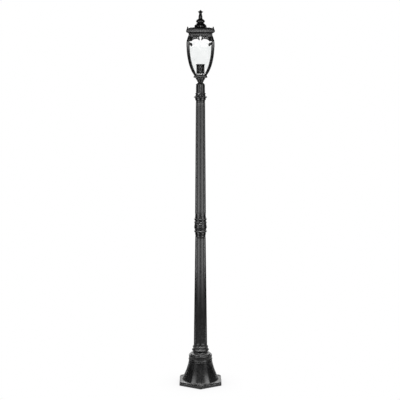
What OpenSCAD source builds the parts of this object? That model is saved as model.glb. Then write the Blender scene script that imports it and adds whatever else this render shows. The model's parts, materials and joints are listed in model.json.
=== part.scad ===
// Garden lamp post: a hexagonal bell foot, a fluted two-piece column and a square lantern
// with a lift-off roof.
// Units are millimetres. +Z is up, the origin is the centre of the foot's underside, -Y is the front.

/* [Foot and bell] */
// Hexagonal foot plate, across its flats
foot_flats = 272; // [256:2:300]
// Thickness of the foot plate
foot_t = 25; // [20:1:28]
// Circle through the three anchor holes
anchor_pcd = 266; // [262:1:270]
// Diameter of an anchor hole
anchor_d = 13; // [11:1:15]
// Height of the bell's flat top platform
bell_top = 190; // [180:2:200]
// Bell's corner radius where it meets the foot
bell_foot_r = 120; // [114:1:126]
// Bell's corner radius at the platform
bell_top_r = 75; // [73:1:79]
// Wall thickness of the bell casting
bell_wall = 7; // [5:0.5:8]

/* [Column] */
// Length of the collar between the bell's platform and the lower column
base_collar_h = 62; // [58:1:70]
// Lower column's diameter at its bottom
column_foot_d = 87; // [85:1:90]
// Lower column's diameter at its top
column_mid_d = 67; // [66:0.5:69]
// Visible length of the lower column
lower_len = 725; // [500:5:1000]
// Length of the middle collar
mid_collar_h = 128; // [120:2:136]
// Upper column's diameter at its bottom
upper_foot_d = 69.5; // [68:0.5:72]
// Upper column's diameter at its top
upper_top_d = 58.6; // [58:0.2:62]
// Visible length of the upper column
upper_len = 728; // [500:2:1000]
// Number of flutes round each column
flutes = 8; // [6:1:10]
// Depth of a flute, as a share of the column's radius
flute_depth = 0.1; // [0.05:0.01:0.11]

/* [Post top] */
// Diameter of the spigot that the lantern turns on
spigot_d = 48; // [46:0.5:49]
// Radial running clearance round the spigot
swivel_gap = 0.05; // [0.02:0.01:0.1]
// Length of the lantern's sleeve over the spigot
fitter_h = 79; // [76:1:86]

/* [Lantern] */
// Half the lantern's width at its shoulder
cage_half = 86.6; // [82:0.2:92]
// Height of the ribs from the tray to the joint under the gallery
rib_h = 209; // [204:1:214]
// Width of a rib's two legs
rib_leg = 17; // [15:0.5:19]
// Thickness of a rib
rib_t = 4; // [3:0.5:4.5]
// Thickness of the glass panes
glass_t = 3; // [2:0.5:3]
// Height of the pierced gallery above the ribs
gallery_h = 34; // [32:1:38]
// Half the lantern's width at the neck above the gallery
neck_half = 74.5; // [72:0.5:76]
// Height of the frieze frame that the roof stands on
frieze_h = 18; // [17:1:20]

/* [Roof and finial] */
// Half the roof's width at the widest line of its rim
rim_half = 88.6; // [86:0.2:90]
// Height of the roof's rim
rim_h = 28; // [27:1:30]
// Height of the dome above the rim
dome_h = 9; // [8:1:12]
// Height of the flared base under the finial
finial_base_h = 25; // [24:1:28]
// Height of the finial above its washer
finial_h = 80; // [76:1:90]
// Diameter of the stud that holds the roof
stud_d = 6; // [5:0.5:6]

/* [Hidden] */
$fn = 96;
EPS = 0.01;

// heights, from the ground up
platform_z = bell_top;
column_z = platform_z + base_collar_h;
mid_z = column_z + lower_len;
upper_z = mid_z + mid_collar_h;
top_z = upper_z + upper_len;
top_collar_h = 39;
fitter_z = top_z + top_collar_h;
cup_z = fitter_z + fitter_h;
cup_h = 28;
tray_z = cup_z + cup_h;
tray_h = 18;
rib_z = tray_z + tray_h;
gallery_z = rib_z + rib_h;
neck_z = gallery_z + gallery_h;
frieze_top_z = neck_z + frieze_h;
gasket_t = 2;
rim_z = frieze_top_z - gasket_t;
rim_top_z = rim_z + rim_h;
finial_base_z = rim_top_z + dome_h;
washer_z = finial_base_z + finial_base_h;
washer_t = 2;
finial_z = washer_z + washer_t;

// foot and bell
thirds = [-90, 30, 150];                // directions of the anchor holes and of the collar's screws
anchor_r = anchor_pcd / 2;
hex_ratio = cos(30);                    // flat distance over corner distance of a hexagon
foot_chamfer = 3;
bell_lip_z = foot_t + 2.5;
bell_lip = 1.5;                         // how far the bell steps in above its lip
flare_power = 1.55;                     // how late the flare turns outwards
bell_flare_z = platform_z - 28;
bell_steps = 8;
bead_z = platform_z - 32;               // thin bead round the bell
bulge_turn = 12.8;                      // the bell's faces bulge: each is three flats, two of them turned
middle_flat = 0.931;                    // distance of the middle flat, as a share of the corner radius
outer_flat = 0.9552;                    // the same for the two outer flats

cavity_top = platform_z - 12;
socket_wall = 8;
step_r = 66;                            // round step of the base collar on the platform
step_h = 7;
step_screw_r = 2.5;

// column ends
shank_r = 38;
shank_len = 118;
shank_gap = 2;                          // the shank ends above the socket's foot: the clamp grips the bell
end_r = 31;
lower_bore_r = 27;
upper_bore_r = 24;
butt_z = mid_z + mid_collar_h / 2;
cap_end_r = 26.6;
cap_end_h = 17;
flute_width = 1.3;                      // radius of a flute's cutter, as a share of the column's radius
flute_margin = 14;
sleeve_half = 70;
sleeve_wall = 5;

// tie tube through the column
tie_r = 8.6;
tie_bore_r = 6.2;
clamp_t = 6;
socket_z = column_z - shank_len - shank_gap;
clamp_z = socket_z - clamp_t;
tie_washer_t = 3;
tie_nut_h = 12;
tie_nut_af = 30;
tie_low_z = clamp_z - tie_washer_t - tie_nut_h - 5;
spigot_floor = 5;
spigot_z = top_z + cap_end_h;
spigot_len = 65;
tie_high_z = spigot_z + spigot_floor + tie_washer_t + tie_nut_h + 3;
spigot_r = spigot_d / 2;
spigot_wall = 4;

// wiring
cable_r = 4;
lead_r = 3.5;
terminal_h = 22;
terminal_z = clamp_z - 62;
connector_z = spigot_z + spigot_len - 19;
connector_h = 12;
lead_z = connector_z + connector_h;

// fitter and nipple
fitter_wall_top = 19;
fitter_screw_z = fitter_z + 9;
fitter_screw_r = 3;
fitter_turns = [-106, 14, 134];         // directions of the fitter's set screws
fitter_bead_r = 34;
nipple_r = 6.5;
nipple_bore_r = 4.7;
nipple_hole_r = nipple_r + 0.1;
nipple_nut_h = 6;
ceiling_z = cup_z - fitter_wall_top;
dish_h = 10;
dish_half = 33.5;
holder_z = rib_z + dish_h;
holder_h = 58;
holder_r = 25.5;
holder_floor = 3;
insert_z = holder_z + 17;
insert_h = 8;

// lantern cage
cage_drop = 211.8;                      // half height of the ellipse that the ribs follow
shoulder_z = gallery_z - 21;            // the ribs stand upright above this height
rib_steps = 20;
strip_t = 1.2;
strip_leg = 11;
pane_margin = 2.6;                      // leaves room for the corner screws between two panes
glass_gap = 0.3;
glass_out = rib_t + glass_gap;
glass_in = glass_out + glass_t;
strip_out = glass_in + 0.2;
strip_screw_heights = [rib_z + 40, rib_z + 150];
diagonal_r = 1.5;
head_gap = 3.3;                         // keeps a round head clear of the angle's two legs
head_block_h = 14;                      // block in the rib's head that takes the frieze's screw
foot_screw_r = 1.5;
screw_seat = 5;                         // depth of the counterbores under the tray
gallery_t = 5;
ornament_screw_z = gallery_z + 16;
gallery_foot_half = cage_half - 1;
gallery_gap = 0.2;
gap_half = 6;                           // half the slot left between two corner ornaments
frame_wall = 4;
flange_t = 3;
flange_half = 58;
bar_t = 4;
corner_screw = 63;                      // distance of the top corner screws from each centre line
foot_pad_in = 34;
foot_pad_w = 5.8;
foot_pad_h = 8;
foot_screw = foot_pad_in + foot_pad_w / 2;
turns_to_free = 10;

// ---------- shared shapes ----------

// A moulding with an even number of flat sides. Each profile point is [distance of the side, height].
module sided_moulding(profile, sides) {
    reach = 3 * max([for (p = profile) p[0]]);
    mirrored = [for (i = [len(profile) - 1 : -1 : 0]) [-profile[i][0], profile[i][1]]];
    intersection_for(k = [0 : sides / 2 - 1])
        rotate([0, 0, k * 360 / sides])
            rotate([90, 0, 0])
                linear_extrude(height = reach, center = true)
                    polygon(concat(profile, mirrored));
}

// A band of the XZ plane between two curves, pulled along Y.
module band_along_y(outer, inner, length) {
    rotate([90, 0, 0])
        linear_extrude(height = length, center = true)
            polygon(concat(outer, [for (i = [len(inner) - 1 : -1 : 0]) inner[i]]));
}

// Turns its child into one that runs the same way along the other horizontal axis.
module swap_xy() {
    mirror([1, -1, 0]) children();
}

// Four copies, one in each corner of the lantern.
module each_corner() {
    for (turn = [0 : 90 : 270])
        rotate([0, 0, turn]) children();
}

module tube(z, h, r_out, r_in) {
    translate([0, 0, z])
        difference() {
            cylinder(h = h, r = r_out);
            translate([0, 0, -1]) cylinder(h = h + 2, r = r_in);
        }
}

// Hexagon nut with a plain bore.
module hex_nut(z, h, across_flats, r_in) {
    translate([0, 0, z])
        difference() {
            cylinder(h = h, r = across_flats / 2 / hex_ratio, $fn = 6);
            translate([0, 0, -1]) cylinder(h = h + 2, r = r_in);
        }
}

// Socket set screw lying along +X, its point at x = from.
module set_screw(from, to, r, socket_r) {
    rotate([0, 90, 0])
        difference() {
            translate([0, 0, from]) cylinder(h = to - from, r = r, $fn = 48);
            translate([0, 0, to - r]) cylinder(h = r + 1, r = socket_r, $fn = 6);
        }
}

// ---------- foot and column ----------

// Corner radius of the bell's flare, which straightens towards the platform.
function bell_r(z) =
    let (share = (bell_flare_z - z) / (bell_flare_z - bell_lip_z))
    bell_top_r + (bell_foot_r - bell_lip - bell_top_r) * pow(share, flare_power);

// The bell's outline as [corner radius, height]: a lip, the flare and the platform's edge.
bell_profile = concat(
    [[bell_foot_r, bell_lip_z - 1]],
    [for (i = [0 : bell_steps])
        let (z = bell_lip_z + (bell_flare_z - bell_lip_z) * i / bell_steps) [bell_r(z), z]],
    [[bell_top_r, platform_z - 2], [bell_top_r - 2, platform_z]]
);

// A six-sided moulding with bulging faces. Each profile point is [corner radius, height].
module bulged_moulding(profile) {
    intersection_for(side = [-1 : 1]) {
        share = side == 0 ? middle_flat : outer_flat;
        rotate([0, 0, 30 + side * bulge_turn])
            sided_moulding([for (p = profile) [p[0] * share, p[1]]], 6);
    }
}

// The bell's outline from height `low` up to `top`.
function bell_part(low, top) =
    let (kept = [for (p = bell_profile) if (p[1] < top) p])
    concat([[kept[0][0], low]], kept, [[kept[len(kept) - 1][0], top]]);

module bell_bead() {
    r = bell_r(bead_z);
    bulged_moulding([[r - 2, bead_z - 3], [r + 2, bead_z], [r + 1.5, bead_z + 3], [r - 3, bead_z + 5]]);
}

// Room inside the bell, a plain hexagon that leaves the wall thinnest at the corners.
module bell_cavity() {
    rotate([0, 0, 30])
        sided_moulding([for (p = bell_part(-1, cavity_top)) [p[0] * hex_ratio - bell_wall, p[1]]], 6);
}

module base_casting() {
    foot_half = foot_flats / 2;
    color([0.07, 0.07, 0.075])
        difference() {
            union() {
                sided_moulding([[foot_half, 0], [foot_half, foot_t - foot_chamfer],
                                [foot_half - foot_chamfer, foot_t]], 6);
                bulged_moulding(bell_part(foot_t - 1, platform_z));
                bell_bead();
            }
            difference() {
                bell_cavity();
                translate([0, 0, socket_z]) cylinder(h = bell_top, r = shank_r + socket_wall);
            }
            translate([0, 0, socket_z - 1]) cylinder(h = bell_top, r = shank_r + 0.1);
            for (turn = thirds)
                rotate([0, 0, turn])
                    translate([anchor_r, 0, -1]) cylinder(h = foot_t + 2, r = anchor_d / 2);
        }
}

module base_set_screws() {
    color([0.75, 0.75, 0.76])
        for (turn = thirds)
            rotate([0, 0, turn])
                translate([0, 0, platform_z + step_h / 2])
                    set_screw(shank_r, step_r + 1.5, step_screw_r, 1.3);
}

module base_collar() {
    color([0.07, 0.07, 0.075])
        translate([0, 0, platform_z])
            difference() {
                rotate_extrude()
                    polygon([[shank_r + 0.1, 0], [step_r, 0], [step_r, step_h - 1], [step_r - 1, step_h],
                             [57, step_h + 3], [50.5, step_h + 6.5], [47.5, 17], [47.5, 21], [50, 24], [53.5, 26], [55, 29],
                             [55, 34], [53.6, 38], [51.4, 43], [50, 45], [48.4, 50], [49.5, 53], [49, 56],
                             [47, 58], [44.5, 59], [43.8, base_collar_h], [shank_r + 0.1, base_collar_h]]);
                for (turn = thirds)
                    rotate([0, 0, turn])
                        translate([shank_r - 5, 0, step_h / 2])
                            rotate([0, 90, 0]) cylinder(h = 40, r = step_screw_r + 0.05);
            }
}

// Long shallow grooves. Each cutter is a cone with the column's own taper, run out at both ends.
module flute_cutters(z, h, r_low, r_high) {
    reach = 1 + flute_width - flute_depth;
    lean = atan(reach * (r_low - r_high) / h);
    tip = flute_width - flute_depth - 0.02;
    long = h - 2 * flute_margin;
    r_a = r_low + (r_high - r_low) * flute_margin / h;
    r_b = r_high + (r_low - r_high) * flute_margin / h;
    run_out = flute_margin - 3;
    for (i = [0 : flutes - 1])
        rotate([0, 0, -90 + (i + 0.5) * 360 / flutes])
            translate([reach * r_a, 0, z + flute_margin])
                rotate([0, -lean, 0]) {
                    cylinder(h = long, r1 = flute_width * r_a, r2 = flute_width * r_b);
                    translate([0, 0, -run_out])
                        cylinder(h = run_out, r1 = tip * r_a, r2 = flute_width * r_a);
                    translate([0, 0, long])
                        cylinder(h = run_out, r1 = flute_width * r_b, r2 = tip * r_b);
                }
}

module lower_column() {
    color([0.07, 0.07, 0.075])
        difference() {
            union() {
                translate([0, 0, column_z - shank_len]) cylinder(h = shank_len + 1, r = shank_r);
                translate([0, 0, column_z])
                    cylinder(h = lower_len, r1 = column_foot_d / 2, r2 = column_mid_d / 2);
                translate([0, 0, mid_z - 1]) cylinder(h = butt_z - mid_z + 1, r = end_r);
            }
            translate([0, 0, column_z - shank_len - 1]) cylinder(h = butt_z, r = lower_bore_r);
            flute_cutters(column_z, lower_len, column_foot_d / 2, column_mid_d / 2);
        }
}

module upper_column() {
    color([0.07, 0.07, 0.075])
        difference() {
            union() {
                translate([0, 0, butt_z]) cylinder(h = upper_z - butt_z + 1, r = end_r);
                translate([0, 0, upper_z])
                    cylinder(h = upper_len, r1 = upper_foot_d / 2, r2 = upper_top_d / 2);
                translate([0, 0, top_z - 1]) cylinder(h = cap_end_h + 1, r = cap_end_r);
            }
            translate([0, 0, butt_z - 1]) cylinder(h = top_z, r = upper_bore_r);
            flute_cutters(upper_z, upper_len, upper_foot_d / 2, upper_top_d / 2);
        }
}

// Inner sleeve that lines up the two columns: it steps down to the upper column's bore.
module joint_sleeve() {
    color([0.55, 0.55, 0.57])
        difference() {
            union() {
                translate([0, 0, butt_z - sleeve_half]) cylinder(h = sleeve_half, r = lower_bore_r);
                translate([0, 0, butt_z - 1]) cylinder(h = sleeve_half + 1, r = upper_bore_r);
            }
            translate([0, 0, butt_z - sleeve_half - 1])
                cylinder(h = 2 * sleeve_half + 2, r = upper_bore_r - sleeve_wall);
        }
}

// Half of a bead's outline, as points on an arc from its lower to its upper edge.
function bead(r, z, size, steps = 6) =
    [for (i = [0 : steps]) let (a = -90 + 180 * i / steps) [r + size * cos(a), z + size * sin(a)]];

module mid_collar() {
    waist = 37.5;
    half = mid_collar_h / 2;
    color([0.07, 0.07, 0.075])
        translate([0, 0, butt_z])
            rotate_extrude()
                polygon(concat(
                    [[end_r + 0.05, -half], [34.2, -half], [35.6, -half + 10], [36, -half + 14]],
                    bead(36, -half + 26, 5.8),
                    [[waist, -half + 37]],
                    [[38, -half + 40], [40.4, -half + 45], [41.6, -half + 50], [41.2, -half + 55],
                     [39.6, -half + 61], [38.9, -half + 68], [39.2, -half + 74]],
                    bead(36, -half + 84, 5.6),
                    [[waist, -half + 94]],
                    bead(36, -half + 104, 5.6),
                    [[37, half - 16], [35.4, half - 12], [35, half], [end_r + 0.05, half]]));
}

module top_collar() {
    color([0.07, 0.07, 0.075])
        translate([0, 0, top_z])
            rotate_extrude()
                polygon(concat(
                    [[cap_end_r + 0.05, 0], [30, 0], [30.6, 4], [33.4, 8], [34.4, 13], [35, 17]],
                    bead(36, 26, 6),
                    [[33.6, 33.5], [32, top_collar_h], [cap_end_r + 0.05, top_collar_h]]));
}

// ---------- clamping and wiring inside the post ----------

module clamp_plate() {
    color([0.6, 0.6, 0.62]) tube(clamp_z, clamp_t, shank_r + socket_wall, tie_r + 0.1);
}

module tie_tube() {
    color([0.6, 0.6, 0.62]) tube(tie_low_z, tie_high_z - tie_low_z, tie_r, tie_bore_r);
}

module tie_washers() {
    color([0.7, 0.7, 0.72]) {
        tube(clamp_z - tie_washer_t, tie_washer_t, 17, tie_r + 0.1);
        tube(spigot_z + spigot_floor, tie_washer_t, 17, tie_r + 0.1);
    }
}

module tie_nuts() {
    color([0.7, 0.7, 0.72]) {
        hex_nut(clamp_z - tie_washer_t - tie_nut_h, tie_nut_h, tie_nut_af, tie_r);
        hex_nut(spigot_z + spigot_floor + tie_washer_t, tie_nut_h, tie_nut_af, tie_r);
    }
}

// Folded strip that hangs from the clamp plate and carries the terminal block.
module terminal_bracket() {
    half = 24;
    strip = 2;
    color([0.65, 0.65, 0.66])
        difference() {
            translate([-half, -10, terminal_z - strip]) cube([2 * half, 20, clamp_z - terminal_z + strip]);
            translate([-half + strip, -11, terminal_z])
                cube([2 * (half - strip), 22, clamp_z - terminal_z - strip]);
            translate([0, 0, clamp_z - 10]) cylinder(h = 20, r = 17.2);
        }
}

module terminal_block() {
    color([0.85, 0.85, 0.82])
        difference() {
            translate([-16, -9, terminal_z]) cube([32, 18, terminal_h]);
            for (x = [-10, 0, 10]) {
                translate([x, 0, terminal_z - 1]) cylinder(h = 8, r = 2);
                translate([x, -12, terminal_z + 12]) rotate([-90, 0, 0]) cylinder(h = 8, r = 2.5);
            }
        }
}

module earth_screw() {
    reach = 30;
    color([0.72, 0.6, 0.3]) {
        translate([0, reach, clamp_z - 7]) cylinder(h = 5, r = 5, $fn = 6);
        translate([0, reach, clamp_z - 2]) cylinder(h = 2, r = 6.5);
    }
}

module supply_cable() {
    color([0.12, 0.12, 0.13])
        translate([0, 0, terminal_z + terminal_h])
            cylinder(h = connector_z - terminal_z - terminal_h, r = cable_r);
}

module cable_grommet() {
    color([0.1, 0.1, 0.1]) {
        difference() {
            translate([0, 0, tie_high_z]) cylinder(h = 5, r1 = tie_r, r2 = 6.5);
            translate([0, 0, tie_high_z - 1]) cylinder(h = 7, r = cable_r);
        }
    }
}

module lead_connector() {
    color([0.9, 0.9, 0.88]) translate([0, 0, connector_z]) cylinder(h = connector_h, r = 9);
}

module post_spigot() {
    color([0.07, 0.07, 0.075])
        difference() {
            union() {
                translate([0, 0, spigot_z]) cylinder(h = spigot_floor, r = cap_end_r);
                translate([0, 0, spigot_z]) cylinder(h = spigot_len, r = spigot_r);
            }
            translate([0, 0, spigot_z + spigot_floor]) cylinder(h = spigot_len, r = spigot_r - spigot_wall);
            translate([0, 0, spigot_z - 1]) cylinder(h = spigot_floor + 2, r = tie_r + 0.1);
        }
}

// ---------- lantern: fitter to tray ----------

module fitter() {
    color([0.07, 0.07, 0.075])
        difference() {
            translate([0, 0, fitter_z])
                rotate_extrude()
                    polygon(concat(
                        [[spigot_r + swivel_gap, 0], [31.5, 0]],
                        bead(29.4, 9, 4.6),
                        [[29.2, 18], [28, fitter_h - 14], [26.5, fitter_h - 11.5], [21, fitter_h - 7.5],
                         [18, fitter_h - 4], [17, fitter_h - 2], [17, fitter_h],
                         [nipple_hole_r, fitter_h],
                         [nipple_hole_r, fitter_h - fitter_wall_top],
                         [spigot_r + swivel_gap, fitter_h - fitter_wall_top]]));
            for (turn = fitter_turns)
                rotate([0, 0, turn])
                    translate([spigot_r - 2, 0, fitter_screw_z])
                        rotate([0, 90, 0]) cylinder(h = 20, r = fitter_screw_r + 0.05);
        }
}

module fitter_set_screws() {
    color([0.75, 0.75, 0.76])
        for (turn = fitter_turns)
            rotate([0, 0, turn])
                translate([0, 0, fitter_screw_z])
                    set_screw(spigot_r + swivel_gap, fitter_bead_r + 1.5, fitter_screw_r, 1.5);
}

module nipple() {
    low = ceiling_z - nipple_nut_h - 3;
    high = holder_z + holder_floor + nipple_nut_h + 2;
    color([0.72, 0.6, 0.3]) tube(low, high - low, nipple_r, nipple_bore_r);
}

module nipple_nuts() {
    color([0.72, 0.6, 0.3]) {
        hex_nut(ceiling_z - nipple_nut_h, nipple_nut_h, 20, nipple_r);
        hex_nut(holder_z + holder_floor, nipple_nut_h, 20, nipple_r);
    }
}

module lantern_lead() {
    color([0.12, 0.12, 0.13])
        translate([0, 0, lead_z + 0.2]) cylinder(h = insert_z - lead_z - 0.2, r = lead_r);
}

module lantern_cup() {
    color([0.07, 0.07, 0.075])
        translate([0, 0, cup_z])
            rotate_extrude()
                polygon([[nipple_hole_r, 0], [17, 0], [19, 3], [21, 5], [22.3, 10], [24, 13], [26.5, 16],
                         [28.5, 20], [30.3, 24], [30.5, cup_h], [25, cup_h], [21, 19], [12, 8],
                         [nipple_hole_r, 6]]);
}

module lantern_tray() {
    color([0.07, 0.07, 0.075])
        difference() {
            translate([0, 0, tray_z])
                sided_moulding([[32, 0], [39, 1.5], [43, 4], [43.6, 7], [42.5, 10], [39, 13], [39, 14.5],
                                [41.6, 16], [41.6, tray_h]], 4);
            translate([0, 0, tray_z + 4]) cylinder(h = tray_h, r = 28);
            translate([0, 0, tray_z - 1]) cylinder(h = tray_h, r = nipple_hole_r);
            each_corner()
                translate([foot_screw, foot_screw, tray_z - 1]) {
                    cylinder(h = tray_h + 2, r = foot_screw_r + 0.2);
                    cylinder(h = screw_seat + 1, r = 3);
                }
        }
}

// Inverted sheet dish that carries the lampholder.
module holder_plate() {
    sheet = 1.5;
    color([0.8, 0.8, 0.8])
        difference() {
            translate([-dish_half, -dish_half, rib_z]) cube([2 * dish_half, 2 * dish_half, dish_h]);
            translate([-dish_half + sheet, -dish_half + sheet, rib_z - 1])
                cube([2 * (dish_half - sheet), 2 * (dish_half - sheet), dish_h - sheet + 1]);
            translate([0, 0, rib_z - 1]) cylinder(h = dish_h + 2, r = nipple_hole_r);
        }
}

// ---------- lampholder ----------

module holder_body() {
    grooves = 16;
    groove_r = 2;
    color([0.05, 0.05, 0.05])
        difference() {
            translate([0, 0, holder_z])
                rotate_extrude()
                    polygon([[nipple_hole_r, 0], [holder_r, 0], [holder_r, holder_h - 9], [28, holder_h - 6],
                             [28, holder_h], [21, holder_h], [21, insert_z - holder_z],
                             [18, insert_z - holder_z], [18, holder_floor], [nipple_hole_r, holder_floor]]);
            for (i = [0 : grooves - 1])
                rotate([0, 0, (i + 0.5) * 360 / grooves])
                    translate([holder_r + 0.6, 0, holder_z + 5])
                        cylinder(h = holder_h - 18, r = groove_r, $fn = 32);
        }
}

module holder_insert() {
    color([0.93, 0.92, 0.88]) tube(insert_z, insert_h, 21, 2.05);
}

module holder_shell() {
    color([0.75, 0.65, 0.4]) tube(insert_z + insert_h, 24, 14, 13.3);
}

// Sprung centre contact: a disc on a stem that slides in the insert.
module centre_contact() {
    travel = 1.5;
    color([0.75, 0.65, 0.4])
        translate([0, 0, insert_z]) {
            translate([0, 0, 3]) cylinder(h = insert_h, r = 2);
            translate([0, 0, insert_h + travel + 0.5]) cylinder(h = 1.5, r = 5);
        }
}

// ---------- lantern: ribs and glass ----------

// Half width of the cage: an ellipse up to the shoulder, then the gallery's inward lean.
function cage_reach(z) =
    z < shoulder_z ? cage_half * sqrt(1 - pow((shoulder_z - z) / cage_drop, 2)) : cage_half;

function gallery_reach(z) =
    gallery_foot_half + (neck_half - gallery_foot_half) * sin(90 * (z - gallery_z) / gallery_h);

rib_heights = [for (i = [0 : rib_steps]) rib_z + rib_h * i / rib_steps];
gallery_heights = [for (i = [0 : 6]) gallery_z + gallery_h * i / 6];

// Outline of the ribs moved inwards by `inset`: the cage curve up to the shelf under the gallery,
// then the tail behind the gallery.
function rib_curve(inset) = concat(
    [for (z = rib_heights) [cage_reach(z) - inset, min(z, gallery_z - EPS)]],
    [for (z = gallery_heights) [gallery_reach(z) - gallery_t - gallery_gap - inset, z]]);

// An outline with both ends pulled 1 mm further, so that it cuts clean through.
function stretched(outline) =
    let (first = outline[0], last = outline[len(outline) - 1])
    concat([[first[0], first[1] - 1]], outline, [[last[0], last[1] + 1]]);

function cage_curve(inset, low, high) =
    [for (i = [0 : rib_steps]) let (z = low + (high - low) * i / rib_steps) [cage_reach(z) - inset, z]];

// Screw along the +X +Y diagonal, from inside the lantern into a corner at `reach` from each centre line.
// `head` is how far behind the corner its head's seat is.
module diagonal_screw(z, reach, head) {
    rotate([0, 0, 45])
        translate([reach * sqrt(2) - head, 0, z])
            rotate([0, 90, 0]) {
                translate([0, 0, -2]) cylinder(h = 2, r = 2.8, $fn = 48);
                cylinder(h = head - 2, r = diagonal_r, $fn = 48);
            }
}

module diagonal_hole(z, reach) {
    rotate([0, 0, 45])
        translate([reach * sqrt(2) - 24, 0, z])
            rotate([0, 90, 0]) cylinder(h = 22, r = diagonal_r, $fn = 48);
}

// An angle section that follows a curve, in the +X +Y corner. The three outlines are its outer face,
// its inner face and the edges of its legs.
module corner_angle(outer, inner, edge) {
    span = 4 * cage_half;
    cut = stretched(inner);
    axis = [[0, cut[0][1]], [0, cut[len(cut) - 1][1]]];
    difference() {
        intersection() {
            band_along_y(outer, edge, span);
            swap_xy() band_along_y(outer, edge, span);
        }
        intersection() {
            band_along_y(cut, axis, span);
            swap_xy() band_along_y(cut, axis, span);
        }
    }
}

module rib() {
    color([0.07, 0.07, 0.075])
        difference() {
            union() {
                corner_angle(rib_curve(0), rib_curve(rib_t), rib_curve(rib_leg));
                translate([foot_pad_in, foot_pad_in, rib_z]) cube([foot_pad_w, foot_pad_w, foot_pad_h]);
                translate([corner_screw - 6, corner_screw - 6, neck_z - head_block_h])
                    cube([10, 10, head_block_h]);
            }
            translate([foot_screw, foot_screw, rib_z - 1]) cylinder(h = foot_pad_h + 2, r = foot_screw_r);
            translate([corner_screw, corner_screw, neck_z - 10]) cylinder(h = 20, r = 2);
            for (z = strip_screw_heights)
                diagonal_hole(z, cage_reach(z));
            diagonal_hole(ornament_screw_z, gallery_reach(ornament_screw_z));
        }
}

module rib_front_left()  { rotate([0, 0, 180]) rib(); }
module rib_front_right() { rotate([0, 0, -90]) rib(); }
module rib_back_left()   { rotate([0, 0, 90]) rib(); }
module rib_back_right()  { rib(); }

// One curved pane, in front of +X.
module glass_pane() {
    low = rib_z + foot_pad_h + 1;
    high = gallery_z - 2;
    side = cage_curve(glass_in + pane_margin, low, high);
    mirrored = [for (i = [len(side) - 1 : -1 : 0]) [-side[i][0], side[i][1]]];
    color([0.85, 0.9, 0.92, 0.35])
        intersection() {
            band_along_y(cage_curve(glass_out, low, high), cage_curve(glass_in, low, high), 4 * cage_half);
            rotate([90, 0, 90]) linear_extrude(height = 2 * cage_half) polygon(concat(side, mirrored));
        }
}

module glass_front() { rotate([0, 0, -90]) glass_pane(); }
module glass_right() { glass_pane(); }
module glass_back()  { rotate([0, 0, 90]) glass_pane(); }
module glass_left()  { rotate([0, 0, 180]) glass_pane(); }

// Inner angle strips that hold the panes against the ribs.
module glass_strips() {
    low = rib_z + 14;
    high = gallery_z - 6;
    color([0.2, 0.2, 0.2])
        difference() {
            each_corner()
                corner_angle(cage_curve(strip_out, low, high), cage_curve(strip_out + strip_t, low, high),
                             cage_curve(strip_out + strip_leg, low, high));
            for (z = strip_screw_heights)
                each_corner() diagonal_hole(z, cage_reach(z));
        }
}

module strip_screws() {
    head = (strip_out + strip_t) * sqrt(2) + head_gap;
    color([0.6, 0.6, 0.62])
        for (z = strip_screw_heights)
            each_corner() diagonal_screw(z, cage_reach(z), head);
}

module rib_foot_screws() {
    color([0.6, 0.6, 0.62])
        each_corner()
            translate([foot_screw, foot_screw, tray_z]) {
                translate([0, 0, screw_seat - 2]) cylinder(h = 2, r = 2.8);
                translate([0, 0, screw_seat - 1])
                    cylinder(h = tray_h + foot_pad_h - screw_seat, r = foot_screw_r);
            }
}

// ---------- lantern: gallery and frieze ----------

// Outline of the gallery moved inwards by `inset`.
function gallery_curve(inset) = [for (z = gallery_heights) [gallery_reach(z) - inset, z]];

// Openings of one scroll arm, drawn in the XZ plane from the corner (+X) to the middle.
module scroll_openings() {
    mid = gallery_z + gallery_h / 2;
    // everything below the scroll: the glass shows here
    translate([gap_half - 1, gallery_z - 1]) square([34, 11]);
    translate([40, gallery_z]) circle(r = 8);
    // the eyes of the two scrolls
    difference() {
        translate([20, mid + 2]) circle(r = 8.5);
        translate([25, mid + 2]) circle(r = 4.5);
    }
    translate([38, mid + 4]) circle(r = 6);
    translate([52, mid + 6]) circle(r = 4);
    translate([60, mid - 6]) circle(r = 3);
}

// Pulls a drawing in the XZ plane through the gallery's wall on the +Y side.
module face_cut() {
    rotate([90, 0, 0])
        translate([0, 0, -gallery_foot_half - 30])
            linear_extrude(height = 60) children();
}

// Corner ornament: a mitred shell of the gallery with a pierced scroll arm on both faces.
module ornament() {
    color([0.07, 0.07, 0.075])
        difference() {
            intersection() {
                difference() {
                    sided_moulding(gallery_curve(0), 4);
                    sided_moulding(stretched(gallery_curve(gallery_t)), 4);
                }
                translate([gap_half, gap_half, gallery_z - 1]) cube([100, 100, gallery_h + 2]);
            }
            face_cut() scroll_openings();
            swap_xy() face_cut() scroll_openings();
            diagonal_hole(ornament_screw_z, gallery_reach(ornament_screw_z));
        }
}

module ornament_front_left()  { rotate([0, 0, 180]) ornament(); }
module ornament_front_right() { rotate([0, 0, -90]) ornament(); }
module ornament_back_left()   { rotate([0, 0, 90]) ornament(); }
module ornament_back_right()  { ornament(); }

module ornament_screws() {
    head = (gallery_t + gallery_gap + rib_t) * sqrt(2) + head_gap;
    color([0.6, 0.6, 0.62])
        each_corner() diagonal_screw(ornament_screw_z, gallery_reach(ornament_screw_z), head);
}

module frieze_frame() {
    color([0.07, 0.07, 0.075])
        difference() {
            translate([0, 0, neck_z])
                sided_moulding([[neck_half, 0], [neck_half, frieze_h - 6], [neck_half - 1, frieze_h - 5],
                                [neck_half - 1, frieze_h - 2]], 4);
            inner = neck_half - 1 - frame_wall;
            translate([-inner, -inner, neck_z + flange_t]) cube([2 * inner, 2 * inner, frieze_h]);
            translate([-flange_half, -flange_half, neck_z - 1])
                cube([2 * flange_half, 2 * flange_half, frieze_h]);
            each_corner()
                translate([corner_screw, corner_screw, neck_z - 1]) cylinder(h = flange_t + 2, r = 2.2);
            for (side = [-1, 1])
                translate([side * corner_screw, 0, neck_z - 1]) cylinder(h = flange_t + 2, r = 2);
        }
}

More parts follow.
